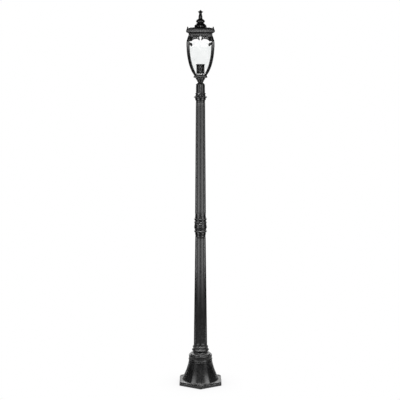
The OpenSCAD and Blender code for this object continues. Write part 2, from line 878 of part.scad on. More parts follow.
module frieze_screws() {
    color([0.6, 0.6, 0.62])
        each_corner()
            translate([corner_screw, corner_screw, neck_z - 9]) {
                cylinder(h = 9 + flange_t, r = 2);
                translate([0, 0, 9 + flange_t]) cylinder(h = 2.5, r = 3.6);
            }
}

// ---------- roof fixing ----------

bar_z = neck_z + flange_t;

module bridge_bar() {
    half = neck_half - frame_wall - 1.5;
    color([0.6, 0.6, 0.62])
        difference() {
            translate([-half, -8, bar_z]) cube([2 * half, 16, bar_t]);
            translate([0, 0, bar_z - 1]) cylinder(h = bar_t + 2, r = stud_d / 2);
            for (side = [-1, 1])
                translate([side * corner_screw, 0, bar_z - 1]) cylinder(h = bar_t + 2, r = 2);
        }
}

module bridge_screws() {
    color([0.6, 0.6, 0.62])
        for (side = [-1, 1])
            translate([side * corner_screw, 0, neck_z]) {
                cylinder(h = flange_t + bar_t, r = 2);
                translate([0, 0, flange_t + bar_t]) cylinder(h = 2.5, r = 3.6);
            }
}

module roof_stud() {
    low = bar_z - 8;
    high = finial_z + turns_to_free;
    color([0.7, 0.7, 0.72]) translate([0, 0, low]) cylinder(h = high - low, r = stud_d / 2);
}

module stud_nuts() {
    color([0.7, 0.7, 0.72]) {
        hex_nut(bar_z - 5, 5, 10, stud_d / 2);
        hex_nut(bar_z + bar_t, 5, 10, stud_d / 2);
    }
}

module roof_gasket() {
    half = neck_half - 1.2;
    inner = half - 5;
    color([0.1, 0.1, 0.1])
        difference() {
            translate([-half, -half, rim_z]) cube([2 * half, 2 * half, gasket_t]);
            translate([-inner, -inner, rim_z - 1]) cube([2 * inner, 2 * inner, gasket_t + 2]);
        }
}

// ---------- roof and finial ----------

module roof_rim() {
    lip = neck_half + 0.7;
    opening = neck_half - 8;
    spike = rim_half - 9.6;
    color([0.07, 0.07, 0.075])
        difference() {
            union() {
                translate([0, 0, rim_z])
                    sided_moulding([[lip + 2, 0], [lip + 6, 1.5], [rim_half - 2, 5], [rim_half, 9],
                                    [rim_half, 16], [rim_half - 1.4, 20], [rim_half - 2.6, 25],
                                    [rim_half - 4, rim_h]], 4);
                each_corner()
                    translate([spike, spike, rim_top_z - 1]) {
                        cylinder(h = 3, r = 4.6);
                        translate([0, 0, 3]) cylinder(h = 10.5, r1 = 4.4, r2 = 1);
                    }
            }
            translate([-lip, -lip, rim_z - 1]) cube([2 * lip, 2 * lip, 1 + gasket_t]);
            translate([-opening, -opening, rim_z]) cube([2 * opening, 2 * opening, rim_h + 1]);
        }
}

// Outline of the low four-sided dome, with its foot `half` from the axis and `height` high.
function dome_curve(half, height) =
    [for (p = [[1, 0], [0.93, 0.3], [0.82, 0.55], [0.68, 0.78], [0.55, 0.93], [0.5, 1]])
        [p[0] * half, p[1] * height]];

module roof_dome() {
    half = rim_half - 15.5;
    shell = 3;
    hollow = half - 7;
    color([0.07, 0.07, 0.075])
        difference() {
            translate([0, 0, rim_top_z]) sided_moulding(dome_curve(half, dome_h), 4);
            translate([0, 0, rim_top_z])
                sided_moulding(concat([[hollow, -1]], dome_curve(hollow, dome_h - shell)), 4);
            translate([0, 0, rim_top_z - 1]) cylinder(h = dome_h + 2, r = stud_d / 2 + 0.4);
        }
}

module finial_base() {
    color([0.07, 0.07, 0.075])
        translate([0, 0, finial_base_z])
            rotate_extrude()
                polygon([[stud_d / 2 + 0.3, 0], [36, 0], [38.6, 1.5], [38.6, 10], [36.5, 13], [33, 16],
                         [29.5, 18.5], [26.5, 21], [24.2, 23], [23.6, finial_base_h],
                         [stud_d / 2 + 0.3, finial_base_h]]);
}

module finial_washer() {
    color([0.07, 0.07, 0.075]) tube(washer_z, washer_t, 20, stud_d / 2 + 0.2);
}

// Outline of the finial above its washer: bulb, spire and bud.
module finial() {
    bore = stud_d / 2 + 0.05;
    color([0.07, 0.07, 0.075])
        translate([0, 0, finial_z])
            rotate_extrude()
                polygon([[bore, 0], [22, 0], [25.5, 3], [28, 8], [28, 12.5], [26, 16.5], [20, 21],
                         [14, 24], [12.6, 28], [12.6, 34], [11.6, 44], [9.8, 50], [8.2, 56], [8.6, 58.5],
                         [10, 60], [13, 64], [16.5, 68.5], [11.5, 70], [8, 72], [3.8, 76], [0, finial_h],
                         [0, 24], [bore, 22]]);
}

base_casting();
base_set_screws();
base_collar();
lower_column();
clamp_plate();
tie_tube();
tie_washers();
tie_nuts();
terminal_bracket();
terminal_block();
earth_screw();
joint_sleeve();
mid_collar();
upper_column();
top_collar();
post_spigot();
supply_cable();
cable_grommet();
lead_connector();
fitter();
fitter_set_screws();
nipple();
nipple_nuts();
lantern_lead();
lantern_cup();
lantern_tray();
holder_plate();
holder_body();
holder_insert();
holder_shell();
centre_contact();
rib_front_left();
rib_front_right();
rib_back_left();
rib_back_right();
glass_front();
glass_right();
glass_back();
glass_left();
glass_strips();
strip_screws();
rib_foot_screws();
ornament_front_left();
ornament_front_right();
ornament_back_left();
ornament_back_right();
ornament_screws();
frieze_frame();
frieze_screws();
bridge_bar();
bridge_screws();
roof_stud();
stud_nuts();
roof_gasket();
roof_rim();
roof_dome();
finial_base();
finial_washer();
finial();
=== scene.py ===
"""Looks of the garden lamp post: fine castings, curved glass, materials, light and camera.

Lengths are metres. Outlines are written in millimetres from the foot of their own piece, the way such
castings are drawn, and MM turns them into metres. Angles round the post start at the front (-Y) and run
towards the right (+X).
"""

import json
import math

import bmesh
import bpy
from mathutils import Matrix, Vector


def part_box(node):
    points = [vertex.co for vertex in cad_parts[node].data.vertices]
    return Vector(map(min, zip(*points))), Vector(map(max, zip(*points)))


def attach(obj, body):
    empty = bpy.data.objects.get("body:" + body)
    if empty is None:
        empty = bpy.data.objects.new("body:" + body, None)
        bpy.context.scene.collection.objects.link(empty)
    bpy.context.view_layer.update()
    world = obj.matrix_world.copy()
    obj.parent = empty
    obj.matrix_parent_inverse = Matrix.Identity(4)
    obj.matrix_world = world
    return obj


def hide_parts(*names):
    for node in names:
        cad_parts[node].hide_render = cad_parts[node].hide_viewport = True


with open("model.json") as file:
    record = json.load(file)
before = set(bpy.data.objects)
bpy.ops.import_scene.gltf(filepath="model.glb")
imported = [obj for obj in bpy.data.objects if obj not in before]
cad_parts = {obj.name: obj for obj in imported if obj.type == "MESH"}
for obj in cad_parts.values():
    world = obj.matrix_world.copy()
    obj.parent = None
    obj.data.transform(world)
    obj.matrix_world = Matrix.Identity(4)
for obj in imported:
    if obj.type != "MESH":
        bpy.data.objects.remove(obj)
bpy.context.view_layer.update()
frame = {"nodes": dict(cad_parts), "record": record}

MM = 0.001
TURN = 2 * math.pi


# ---------- heights and widths of the frame ----------

def foot_of(node):
    """Height of a CAD node's underside."""
    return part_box(node)[0].z


def top_of(node):
    """Height of a CAD node's top."""
    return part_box(node)[1].z


def half_of(node):
    """A CAD node's reach from the post's axis towards +X."""
    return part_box(node)[1].x


PLATFORM_Z = top_of("base_casting")
COLUMN_Z = top_of("base_collar")
MID_Z = foot_of("mid_collar")
BUTT_Z = foot_of("upper_column")
UPPER_Z = top_of("mid_collar")
TOP_Z = foot_of("top_collar")
FITTER_Z = foot_of("fitter")
CUP_Z = foot_of("lantern_cup")
TRAY_Z = foot_of("lantern_tray")
CAGE_Z = top_of("lantern_tray")
GALLERY_Z = foot_of("ornament_front_left")
NECK_Z = foot_of("frieze_frame")
RIM_Z = foot_of("roof_rim")
DOME_Z = foot_of("roof_dome")

FOOT_HALF = half_of("base_casting")
CAGE_HALF = half_of("rib_front_right")
GALLERY_HALF = half_of("ornament_front_right")
NECK_HALF = half_of("frieze_frame")
RIM_HALF = half_of("roof_rim")
PLATFORM = round(PLATFORM_Z / MM)

# turns in degrees from the +X +Y corner and from the +X side, where these pieces are drawn
LANTERN_CORNERS = {"back_right": 0, "back_left": 90, "front_left": 180, "front_right": 270}
LANTERN_SIDES = {"right": 0, "back": 90, "left": 180, "front": 270}


# ---------- materials ----------

def add_node(material, kind, inputs=None, **settings):
    """Adds a shader node. The value of an input may be another node's output."""
    made = material.node_tree.nodes.new("ShaderNode" + kind)
    for name, value in settings.items():
        setattr(made, name, value)
    for name, value in (inputs or {}).items():
        if isinstance(value, bpy.types.NodeSocket):
            material.node_tree.links.new(value, made.inputs[name])
        else:
            made.inputs[name].default_value = value
    return made


def noise(material, size, detail=3.0):
    """Soft noise from 0 to 1 whose patches are about `size` metres across."""
    place = add_node(material, "TexCoord").outputs["Object"]
    made = add_node(material, "TexNoise", {"Vector": place, "Scale": 1 / size, "Detail": detail})
    return made.outputs["Fac"]


def ramp(material, factor, low, high, start=0.35, stop=0.65):
    """Goes from one colour to another while factor runs from start to stop."""
    made = add_node(material, "ValToRGB", {"Fac": factor})
    for element, place, colour in zip(made.color_ramp.elements, (start, stop), (low, high)):
        element.position = place
        element.color = (*colour, 1.0)
    return made.outputs["Color"]


def span(material, value, low, high, start=0.3, stop=0.7):
    """Stretches a value that runs from start to stop so that it runs from low to high."""
    made = add_node(material, "MapRange", {"Value": value, "From Min": start, "From Max": stop,
                                           "To Min": low, "To Max": high})
    return made.outputs["Result"]


def combine(material, operation, first, second):
    """The result of a sum on two values, each a number or another node's output."""
    made = add_node(material, "Math", operation=operation)
    for socket, value in zip(made.inputs, (first, second)):
        if isinstance(value, bpy.types.NodeSocket):
            material.node_tree.links.new(value, socket)
        else:
            socket.default_value = value
    return made.outputs["Value"]


def bump(material, height, depth):
    """A surface normal from a height pattern that is `depth` metres deep."""
    made = add_node(material, "Bump", {"Height": height, "Distance": depth, "Strength": 1.0})
    return made.outputs["Normal"]


def worn_edges(material, start=0.51, stop=0.60):
    """About 1 along outer edges, where handling and weather rub a finish, and 0 on flats."""
    geometry = add_node(material, "NewGeometry")
    return span(material, geometry.outputs["Pointiness"], 0.0, 1.0, start, stop)


def facing_up(material):
    """1 on level surfaces, where a film of dust and painted light from above are added."""
    geometry = add_node(material, "NewGeometry")
    upward = add_node(material, "SeparateXYZ", {"Vector": geometry.outputs["Normal"]}).outputs["Z"]
    return span(material, upward, 0.0, 1.0, 0.75, 1.0)


def new_material(name):
    """A material with nothing but its output and a Principled shader."""
    material = bpy.data.materials.new(name)
    material.use_nodes = True
    shader = next(n for n in material.node_tree.nodes if n.type == "BSDF_PRINCIPLED")
    return material, shader


def solid(name, tones, patch, roughness, grain, grain_depth, metallic=0.0, coat=0.0, edge_tone=None):
    """An opaque finish: two tones in soft patches, roughness that changes with them, and a bumpy grain."""
    material, shader = new_material(name)
    link = material.node_tree.links.new
    patches = noise(material, patch, 4.0)
    colour = ramp(material, patches, *tones)
    if edge_tone:
        edge = ramp(material, worn_edges(material), (0, 0, 0), edge_tone, 0.0, 1.0)
        rubbed = add_node(material, "MixRGB", {"Fac": 1.0, "Color1": colour, "Color2": edge},
                          blend_type="ADD")
        colour = rubbed.outputs["Color"]
    link(colour, shader.inputs["Base Color"])
    link(span(material, patches, *roughness), shader.inputs["Roughness"])
    link(bump(material, noise(material, grain, 2.0), grain_depth), shader.inputs["Normal"])
    shader.inputs["Metallic"].default_value = metallic
    shader.inputs["Coat Weight"].default_value = coat
    return material


def black_casting():
    """Satin black powder coat on cast aluminium: orange peel, dust and painted top light on level faces,
    rubbed edges.
    """
    material, shader = new_material("black_casting")
    link = material.node_tree.links.new
    patches = noise(material, 0.06, 5.0)
    peel = noise(material, 0.0016, 2.0)
    casting = noise(material, 0.011, 3.0)
    coat = ramp(material, patches, (0.0035, 0.0035, 0.0036), (0.006, 0.006, 0.0062))
    rubbed_tone = (0.05, 0.05, 0.051, 1)
    # Level faces are made paler: partly a film of dust, partly painted light falling from above.
    dust_and_top_light_tone = (0.16, 0.158, 0.15, 1)
    wear = combine(material, "MULTIPLY", worn_edges(material), span(material, casting, 0.2, 1.0))
    dust_and_top_light = combine(material, "MULTIPLY", facing_up(material), span(material, patches, 0.25, 0.8))
    rubbed = add_node(material, "MixRGB", {"Fac": combine(material, "MULTIPLY", wear, 0.5),
                                           "Color1": coat, "Color2": rubbed_tone})
    dusty_and_top_lit = add_node(material, "MixRGB", {"Fac": combine(material, "MULTIPLY", dust_and_top_light, 0.08),
                                          "Color1": rubbed.outputs["Color"], "Color2": dust_and_top_light_tone})
    link(dusty_and_top_lit.outputs["Color"], shader.inputs["Base Color"])
    roughness = combine(material, "ADD", span(material, patches, 0.23, 0.29),
                        combine(material, "MULTIPLY", dust_and_top_light, 0.08))
    link(roughness, shader.inputs["Roughness"])
    relief = combine(material, "ADD", combine(material, "MULTIPLY", peel, 0.25),
                     combine(material, "MULTIPLY", casting, 0.2))
    link(bump(material, relief, 0.00003), shader.inputs["Normal"])
    return material


def zinc_steel():
    """Zinc-plated steel: cloudy grey with a fine grain."""
    tones = ((0.42, 0.43, 0.45), (0.62, 0.62, 0.63))
    return solid("zinc_steel", tones, patch=0.008, roughness=(0.28, 0.45), grain=0.0006,
                 grain_depth=0.00004, metallic=1.0)


def brass():
    """Turned brass, a little dulled."""
    tones = ((0.55, 0.40, 0.17), (0.76, 0.60, 0.30))
    return solid("brass", tones, patch=0.006, roughness=(0.25, 0.42), grain=0.0005,
                 grain_depth=0.00003, metallic=1.0)


def rubber():
    """Matt black rubber."""
    tones = ((0.018, 0.018, 0.018), (0.035, 0.034, 0.033))
    return solid("rubber", tones, patch=0.01, roughness=(0.65, 0.85), grain=0.0008,
                 grain_depth=0.00008)


def cable_sheath():
    """Dark grey plastic sheath."""
    tones = ((0.03, 0.03, 0.031), (0.055, 0.054, 0.053))
    return solid("cable_sheath", tones, patch=0.02, roughness=(0.45, 0.6), grain=0.0012,
                 grain_depth=0.00005)


def pale_plastic():
    """Off-white moulded plastic."""
    tones = ((0.72, 0.71, 0.67), (0.85, 0.85, 0.81))
    return solid("pale_plastic", tones, patch=0.012, roughness=(0.35, 0.5), grain=0.0009,
                 grain_depth=0.00004)


def plain_sheet():
    """Pressed aluminium sheet, dulled."""
    tones = ((0.34, 0.34, 0.34), (0.46, 0.46, 0.46))
    return solid("plain_sheet", tones, patch=0.02, roughness=(0.35, 0.55), grain=0.0007,
                 grain_depth=0.00004, metallic=0.6)


def holder_plastic():
    """Moulded black plastic with an even sheen."""
    tones = ((0.016, 0.016, 0.016), (0.03, 0.03, 0.03))
    return solid("holder_plastic", tones, patch=0.012, roughness=(0.25, 0.36), grain=0.0008,
                 grain_depth=0.000006)


def holder_ceramic():
    """Glazed white ceramic."""
    tones = ((0.78, 0.76, 0.70), (0.88, 0.87, 0.83))
    return solid("holder_ceramic", tones, patch=0.01, roughness=(0.12, 0.22), grain=0.001,
                 grain_depth=0.00003, coat=0.5)


def black_strip():
    """Black-coated strip whose edges have rubbed paler."""
    tones = ((0.022, 0.022, 0.022), (0.04, 0.04, 0.04))
    return solid("black_strip", tones, patch=0.015, roughness=(0.4, 0.55), grain=0.0009,
                 grain_depth=0.00005, edge_tone=(0.04, 0.04, 0.04))


def clear_glass():
    """Clear, faintly seeded glass: a see-through tint and a mirror that grows towards grazing angles."""
    mirror_ahead = 0.004
    mirror_grazing = 0.6
    material, shader = new_material("clear_glass")
    tree = material.node_tree
    tree.nodes.remove(shader)
    place = add_node(material, "TexCoord").outputs["Object"]
    seeds = add_node(material, "TexVoronoi", {"Vector": place, "Scale": 160.0})
    seed = span(material, seeds.outputs["Distance"], 1.0, 0.0, 0.0, 0.22)
    ripple = noise(material, 0.03, 2.0)
    relief = combine(material, "ADD", ripple, combine(material, "MULTIPLY", seed, 0.12))
    normal = bump(material, relief, 0.0006)
    tint = ramp(material, combine(material, "ADD", ripple, combine(material, "MULTIPLY", seed, 0.25)),
                (0.985, 0.988, 0.987), (0.955, 0.962, 0.960))
    clear = add_node(material, "BsdfTransparent", {"Color": tint})
    mirror = add_node(material, "BsdfGlossy", {"Color": (1, 1, 1, 1), "Normal": normal,
                                               "Roughness": span(material, ripple, 0.02, 0.06)})
    facing = add_node(material, "LayerWeight", {"Blend": 0.5, "Normal": normal}).outputs["Facing"]
    steepness = combine(material, "POWER", facing, 5.0)
    share = span(material, steepness, mirror_ahead, mirror_grazing, 0.0, 1.0)
    mix = add_node(material, "MixShader", {0: share, 1: clear.outputs["BSDF"], 2: mirror.outputs["BSDF"]})
    output = next(n for n in tree.nodes if n.type == "OUTPUT_MATERIAL")
    tree.links.new(mix.outputs["Shader"], output.inputs["Surface"])
    return material


MATERIALS = {recipe.__name__: recipe() for recipe in (
    black_casting, zinc_steel, brass, rubber, cable_sheath, pale_plastic, plain_sheet, holder_plastic,
    holder_ceramic, black_strip, clear_glass)}


def dress_frame():
    """Gives every CAD node its slot's material."""
    for part in frame["record"]["subparts"]:
        mesh = frame["nodes"][part["node"]].data
        mesh.materials.clear()
        mesh.materials.append(MATERIALS[part["material_slot"]])


# ---------- mesh tools ----------

def rounded(points, radius, closed=False, steps=3):
    """The outline with each corner cut to a small curve that reaches `radius` along both sides."""
    points = [Vector((*p, 0.0)) if len(p) == 2 else Vector(p) for p in points]
    result = []
    for i, corner in enumerate(points):
        if not closed and i in (0, len(points) - 1):
            result.append(corner)
            continue
        before = points[i - 1] - corner
        after = points[(i + 1) % len(points)] - corner
        start = corner + before.normalized() * min(radius, 0.45 * before.length)
        end = corner + after.normalized() * min(radius, 0.45 * after.length)
        for k in range(steps + 1):
            share = k / steps
            result.append(start.lerp(corner, share).lerp(corner.lerp(end, share), share))
    return result


def smooth_path(points, steps=6):
    """A curve through all the points, with `steps` pieces between each two."""
    points = [Vector(p) for p in points]
    ends = [points[0] * 2 - points[1]] + points + [points[-1] * 2 - points[-2]]
    path = []
    for a, b, c, d in zip(ends, ends[1:], ends[2:], ends[3:]):
        for k in range(steps):
            t = k / steps
            path.append(0.5 * (2 * b + (c - a) * t + (2 * a - 5 * b + 4 * c - d) * t ** 2
                               + (3 * b - a - 3 * c + d) * t ** 3))
    path.append(points[-1])
    return path


def skin(bm, rings, wrap=False):
    """Joins rings of equal length. With wrap the last ring meets the first, or else the ends are capped."""
    rows = [[bm.verts.new(p) for p in ring] for ring in rings]
    pairs = list(zip(rows, rows[1:]))
    if wrap:
        pairs.append((rows[-1], rows[0]))
    else:
        bm.faces.new(rows[0])
        bm.faces.new(rows[-1])
    for lower, upper in pairs:
        for i in range(len(lower)):
            bm.faces.new((lower[i - 1], lower[i], upper[i], upper[i - 1]))


def even_angles(count=128):
    """Evenly spaced directions round the post."""
    return [TURN * k / count for k in range(count)]


def polar_ring(radius_at, z, angles, centre=(0.0, 0.0)):
    """A level ring whose radius is a function of the angle."""
    ring = []
    for angle in angles:
        radius = radius_at(angle)
        ring.append(Vector((centre[0] + radius * math.sin(angle), centre[1] - radius * math.cos(angle), z)))
    return ring


def turned(bm, outline, foot, shape=None, angles=None, centre=(0.0, 0.0)):
    """Turns a closed outline of (radius, height, amount) in mm round an upright axis.

    shape(angle, radius, amount) may change the radius of the rows whose amount is not 0.
    """
    rings = []
    for radius, height, amount in outline:
        def radius_at(angle):
            return (shape(angle, radius, amount) if shape and amount else radius) * MM
        rings.append(polar_ring(radius_at, foot + height * MM, angles or even_angles(), centre))
    skin(bm, rings, wrap=True)


def square_ring(half, corner, z, steps=4):
    """A level square with rounded corners, `half` from the axis to each side."""
    ring = []
    for quarter in range(4):
        for k in range(steps + 1):
            angle = TURN * (quarter + k / steps) / 4
            turn = TURN * quarter / 4 + TURN / 8
            middle = (half - corner) * math.sqrt(2)
            ring.append(Vector((middle * math.cos(turn) + corner * math.cos(angle),
                                middle * math.sin(turn) + corner * math.sin(angle), z)))
    return ring


def square_moulding(bm, outline, foot, corner=2.5):
    """Carries a closed outline of (reach, height) in mm round a square with rounded corners."""
    rings = [square_ring(reach * MM, min(corner, reach * 0.9) * MM, foot + height * MM)
             for reach, height, _ in outline]
    skin(bm, rings, wrap=True)


def bar(bm, path, width, outward, flat=0.7, count=10):
    """A bar along a path: width(share) is its half width, and it is `flat` times as thick along outward."""
    rings = []
    for i, point in enumerate(path):
        along = (path[min(i + 1, len(path) - 1)] - path[max(i - 1, 0)]).normalized()
        side = along.cross(outward).normalized()
        half = width(i / (len(path) - 1))
        rings.append([point + side * half * math.cos(turn) + outward * half * flat * math.sin(turn)
                      for turn in even_angles(count)])
    skin(bm, rings)


SAME_PLACE = 1e-6
CREASE = math.radians(38)


def close_mesh(bm):
    """Joins points that meet and turns every face outwards."""
    bmesh.ops.remove_doubles(bm, verts=bm.verts, dist=SAME_PLACE)
    bmesh.ops.recalc_face_normals(bm, faces=bm.faces)


def shade_smooth(bm):
    """Shades the faces smoothly, except across edges sharper than CREASE."""
    for face in bm.faces:
        face.smooth = True
    for edge in bm.edges:
        edge.smooth = edge.calc_face_angle(0.0) < CREASE


def place_piece(name, bm, body, slot):
    """Turns the mesh into the shown piece for the CAD node of this name."""
    close_mesh(bm)
    shade_smooth(bm)
    mesh = bpy.data.meshes.new(name + "_shape")
    bm.to_mesh(mesh)
    bm.free()
    mesh.materials.append(MATERIALS[slot])
    piece = bpy.data.objects.new(name + "_shape", mesh)
    bpy.context.scene.collection.objects.link(piece)
    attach(piece, body)
    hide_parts(name)
    return piece


# ---------- foot and bell ----------

FOOT_T = 25
BELL_FOOT_R = 120
BELL_TOP_R = 75
BELL_LIP = 1.5
BELL_LIP_Z = FOOT_T + 3
BELL_FLARE_Z = PLATFORM - 28
FLARE_POWER = 1.55       # how late the flare turns outwards
BELL_WALL = 7
LOW_BULGE = 0.75         # how round the bell is at its foot, from 0 for a hexagon to 1 for a circle
HIGH_BULGE = 0.95        # the same at its neck
CORNER_SOFTNESS = math.radians(1.2)
BEAD_Z = PLATFORM - 32
SOCKET_R = 38.1
SOCKET_LEDGE = 8
SOCKET_Z = PLATFORM - 58
CAVITY_TOP = PLATFORM - 12
HALF_SIDE = math.pi / 6


def hexagon_angles(count=14):
    """Directions round the post, closer together near the corners of the foot and of the bell."""
    fine = [HALF_SIDE / 2 * (1 - math.cos(math.pi * k / count)) for k in range(count)]
    return [HALF_SIDE * sector + step for sector in range(12) for step in fine]


def foot_side(angle, reach, corner):
    """Radius of a hexagon with rounded corners, one of them at the front."""
    off = abs((angle + HALF_SIDE) % (2 * HALF_SIDE) - HALF_SIDE)
    from_face = HALF_SIDE - off
    if reach * math.tan(from_face) < (reach - corner) * math.tan(HALF_SIDE):
        return reach / math.cos(from_face)
    middle = (reach - corner) / math.cos(HALF_SIDE)
    return middle * math.cos(off) + math.sqrt(corner ** 2 - (middle * math.sin(off)) ** 2)


def bell_side(angle, corner_r, bulge):
    """Radius of a hexagon with bulging faces and soft ridges, one face at the front."""
    from_face = (angle + HALF_SIDE) % (2 * HALF_SIDE) - HALF_SIDE
    from_corner = HALF_SIDE - abs(from_face)
    softened = HALF_SIDE - math.hypot(from_corner, CORNER_SOFTNESS)
    return corner_r * ((1 - bulge) * math.cos(HALF_SIDE) / math.cos(softened) + bulge)


def bell_r(z):
    """Corner radius of the bell's flare."""
    share = (BELL_FLARE_Z - z) / (BELL_FLARE_Z - BELL_LIP_Z)
    return BELL_TOP_R + (BELL_FOOT_R - BELL_LIP - BELL_TOP_R) * max(share, 0.0) ** FLARE_POWER


def bell_outline():
    """Corner radius and height up the outside of the bell: lip, flare, bead and rim."""
    flare = [(bell_r(z), z) for z in range(BELL_LIP_Z, BEAD_Z - 7, 5)]
    neck = bell_r(BEAD_Z)
    lip = [(BELL_FOOT_R + 0.8, FOOT_T), (BELL_FOOT_R, FOOT_T + 1)]
    slit = [(neck + 0.2, BEAD_Z - 7), (neck - 3.5, BEAD_Z - 6), (neck - 3.5, BEAD_Z - 2.4)]
    bead = [(neck + 1.6, BEAD_Z - 1.6), (neck + 2.6, BEAD_Z + 0.6), (neck + 2, BEAD_Z + 3),
            (neck, BEAD_Z + 5.6)]
    rim = [(BELL_TOP_R, BEAD_Z + 9), (BELL_TOP_R, PLATFORM - 3), (BELL_TOP_R - 2, PLATFORM)]
    return rounded(lip + flare + slit + bead + rim, 1.6, steps=2)


def base_casting():
    """Hexagonal foot and bell in one hollow casting, with a raised rim round each anchor hole."""
    foot_corner = 4.5
    angles = hexagon_angles()
    rings = []

    def foot_ring(inset, z):
        reach = FOOT_HALF - inset * MM
        rings.append(polar_ring(lambda a: foot_side(a, reach, foot_corner * MM), z * MM, angles))

    def bell_ring(corner_r, z):
        share = min(max((z - BELL_LIP_Z) / (BELL_FLARE_Z - BELL_LIP_Z), 0), 1)
        bulge = LOW_BULGE + (HIGH_BULGE - LOW_BULGE) * share
        rings.append(polar_ring(lambda a: bell_side(a, corner_r * MM, bulge), z * MM, angles))

    def round_ring(radius, z):
        rings.append(polar_ring(lambda a: radius * MM, z * MM, angles))

    bell_ring(BELL_FOOT_R - BELL_WALL, 0)
    for inset, z in ((2, 0), (0, 2), (0, 15.5), (0.4, 17), (2.2, 17.8), (2.6, 19), (2.6, FOOT_T - 2.6),
                     (3.4, FOOT_T - 0.8), (5.2, FOOT_T)):
        foot_ring(inset, z)
    for corner_r, z, _ in bell_outline():
        bell_ring(corner_r, z)
    for radius, z in ((SOCKET_R, PLATFORM), (SOCKET_R, SOCKET_Z), (SOCKET_R + SOCKET_LEDGE, SOCKET_Z),
                      (SOCKET_R + SOCKET_LEDGE, CAVITY_TOP)):
        round_ring(radius, z)
    for z in range(CAVITY_TOP, FOOT_T, -12):
        bell_ring(bell_r(z) - BELL_WALL, z)
    bell_ring(BELL_FOOT_R - BELL_WALL, FOOT_T)
    bm = bmesh.new()
    skin(bm, rings, wrap=True)
    piece = place_piece("base_casting", bm, "post", "black_casting")
    bore_anchor_holes(piece)


def anchor_places():
    """Centres and radius of the anchor holes, from the record's mount."""
    mount = next(m for m in frame["record"]["mounts"] if m["name"] == "anchor_holes")
    dims = mount["dims"]
    reach = dims["pcd_mm"] / 2 * MM
    turns = [TURN * k / dims["count"] for k in range(dims["count"])]
    return [(reach * math.sin(a), -reach * math.cos(a)) for a in turns], dims["hole_r_mm"]


def bore_anchor_holes(piece):
    """Cuts the anchor holes through the foot and sets a raised ring round each."""
    places, hole_r = anchor_places()
    tool = bmesh.new()
    for centre in places:
        drill = [(0.01, -2), (hole_r, -2), (hole_r, FOOT_T + 4), (0.01, FOOT_T + 4)]
        turned(tool, rounded(drill, 0.01, closed=True, steps=1), 0.0, angles=even_angles(48), centre=centre)
    cutter_mesh = bpy.data.meshes.new("drill")
    close_mesh(tool)
    tool.to_mesh(cutter_mesh)
    tool.free()
    cutter = bpy.data.objects.new("drill", cutter_mesh)
    bpy.context.scene.collection.objects.link(cutter)
    cut = piece.modifiers.new("holes", "BOOLEAN")
    cut.object = cutter
    cut.solver = "EXACT"
    bpy.context.view_layer.update()
    graph = bpy.context.evaluated_depsgraph_get()
    bored = bpy.data.meshes.new_from_object(piece.evaluated_get(graph), depsgraph=graph)
    piece.modifiers.clear()
    bpy.data.objects.remove(cutter)

    bm = bmesh.new()
    bm.from_mesh(bored)
    raised = [(hole_r, -1), (hole_r, 1.6), (hole_r + 1, 2.4), (hole_r + 3.4, 2.4), (hole_r + 5, 0.8),
              (hole_r + 5.4, -1)]
    for centre in places:
        turned(bm, rounded(raised, 0.8, closed=True), FOOT_T * MM, angles=even_angles(48), centre=centre)
    bmesh.ops.recalc_face_normals(bm, faces=bm.faces)
    shade_smooth(bm)
    bm.to_mesh(piece.data)
    bm.free()


# ---------- columns and collars ----------

FLUTES = 8
FLUTE_WIDTH = 1.3        # radius of a hollow, as a share of the column's radius
FLUTE_DEPTH = 0.1        # the same share
FLUTE_MARGIN = 9         # plain length at each end in mm
FLUTE_END = 20           # length of a scoop in mm
LAND_SOFTNESS = 0.004
LOWER_TAPER = 0.77
UPPER_TAPER = 0.843
SHANK = 118              # how far the lower column goes down into the bell
BUTT_R = 31              # plain ends of both columns inside the middle collar
TOP_R = 26.6             # plain end of the upper column inside the top collar


def fluted(angle, radius, depth):
    """Radius of a column with round hollows: their width and depth are shares of the radius."""
    step = TURN / FLUTES
    off = angle % step - step / 2
    distance = 1 + FLUTE_WIDTH - depth
    sunk = 1 - distance * math.cos(off) + math.sqrt(FLUTE_WIDTH ** 2 - (distance * math.sin(off)) ** 2)
    return radius * (1 - (sunk + math.hypot(sunk, LAND_SOFTNESS)) / 2)


def flute_rows(height, r_low, r_high):
    """Rows of a fluted length: radius, height and flute depth. The flutes end in round scoops."""
    ends = [FLUTE_MARGIN + FLUTE_END * (k / 10) ** 2 for k in range(11)]
    middle = [ends[-1] + (height - 2 * ends[-1]) * k / 16 for k in range(1, 16)]
    rows = []
    for z in [0] + ends + middle + [height - e for e in reversed(ends)] + [height]:
        run = min(max(min(z, height - z) - FLUTE_MARGIN, 0) / FLUTE_END, 1)
        depth = FLUTE_DEPTH * math.sqrt(1 - (1 - run) ** 2)
        rows.append((r_low + (r_high - r_low) * z / height, z, depth))
    return rows


def column(name, foot, outline_below, rows, outline_above):
    """A fluted tube: plain rows below and above, given from the start of the fluted length."""
    outline = [(*p, 0.0) for p in outline_below] + rows + [(*p, 0.0) for p in outline_above]
    bm = bmesh.new()
    turned(bm, outline, foot, fluted, even_angles(FLUTES * 28))
    place_piece(name, bm, "post", "black_casting")


def lower_column():
    """Fluted between its collars, with a plain shank in the bell."""
    length = (MID_Z - COLUMN_Z) / MM
    r_low = half_of("lower_column") / MM
    bore = 27
    shank_r = SOCKET_R - 0.1
    end = (BUTT_Z - COLUMN_Z) / MM
    column("lower_column", COLUMN_Z, [(bore, -SHANK), (shank_r, -SHANK), (shank_r, 0)],
           flute_rows(length, r_low, LOWER_TAPER * r_low), [(BUTT_R, length), (BUTT_R, end), (bore, end)])


def upper_column():
    """Fluted between its collars, with a thinner plain end for the top collar and the fitter."""
    length = (TOP_Z - UPPER_Z) / MM
    r_low = half_of("upper_column") / MM
    bore = 24
    start = (BUTT_Z - UPPER_Z) / MM
    end = (top_of("upper_column") - UPPER_Z) / MM
    column("upper_column", UPPER_Z, [(bore, start), (BUTT_R, start), (BUTT_R, 0)],
           flute_rows(length, r_low, UPPER_TAPER * r_low), [(TOP_R, length), (TOP_R, end), (bore, end)])


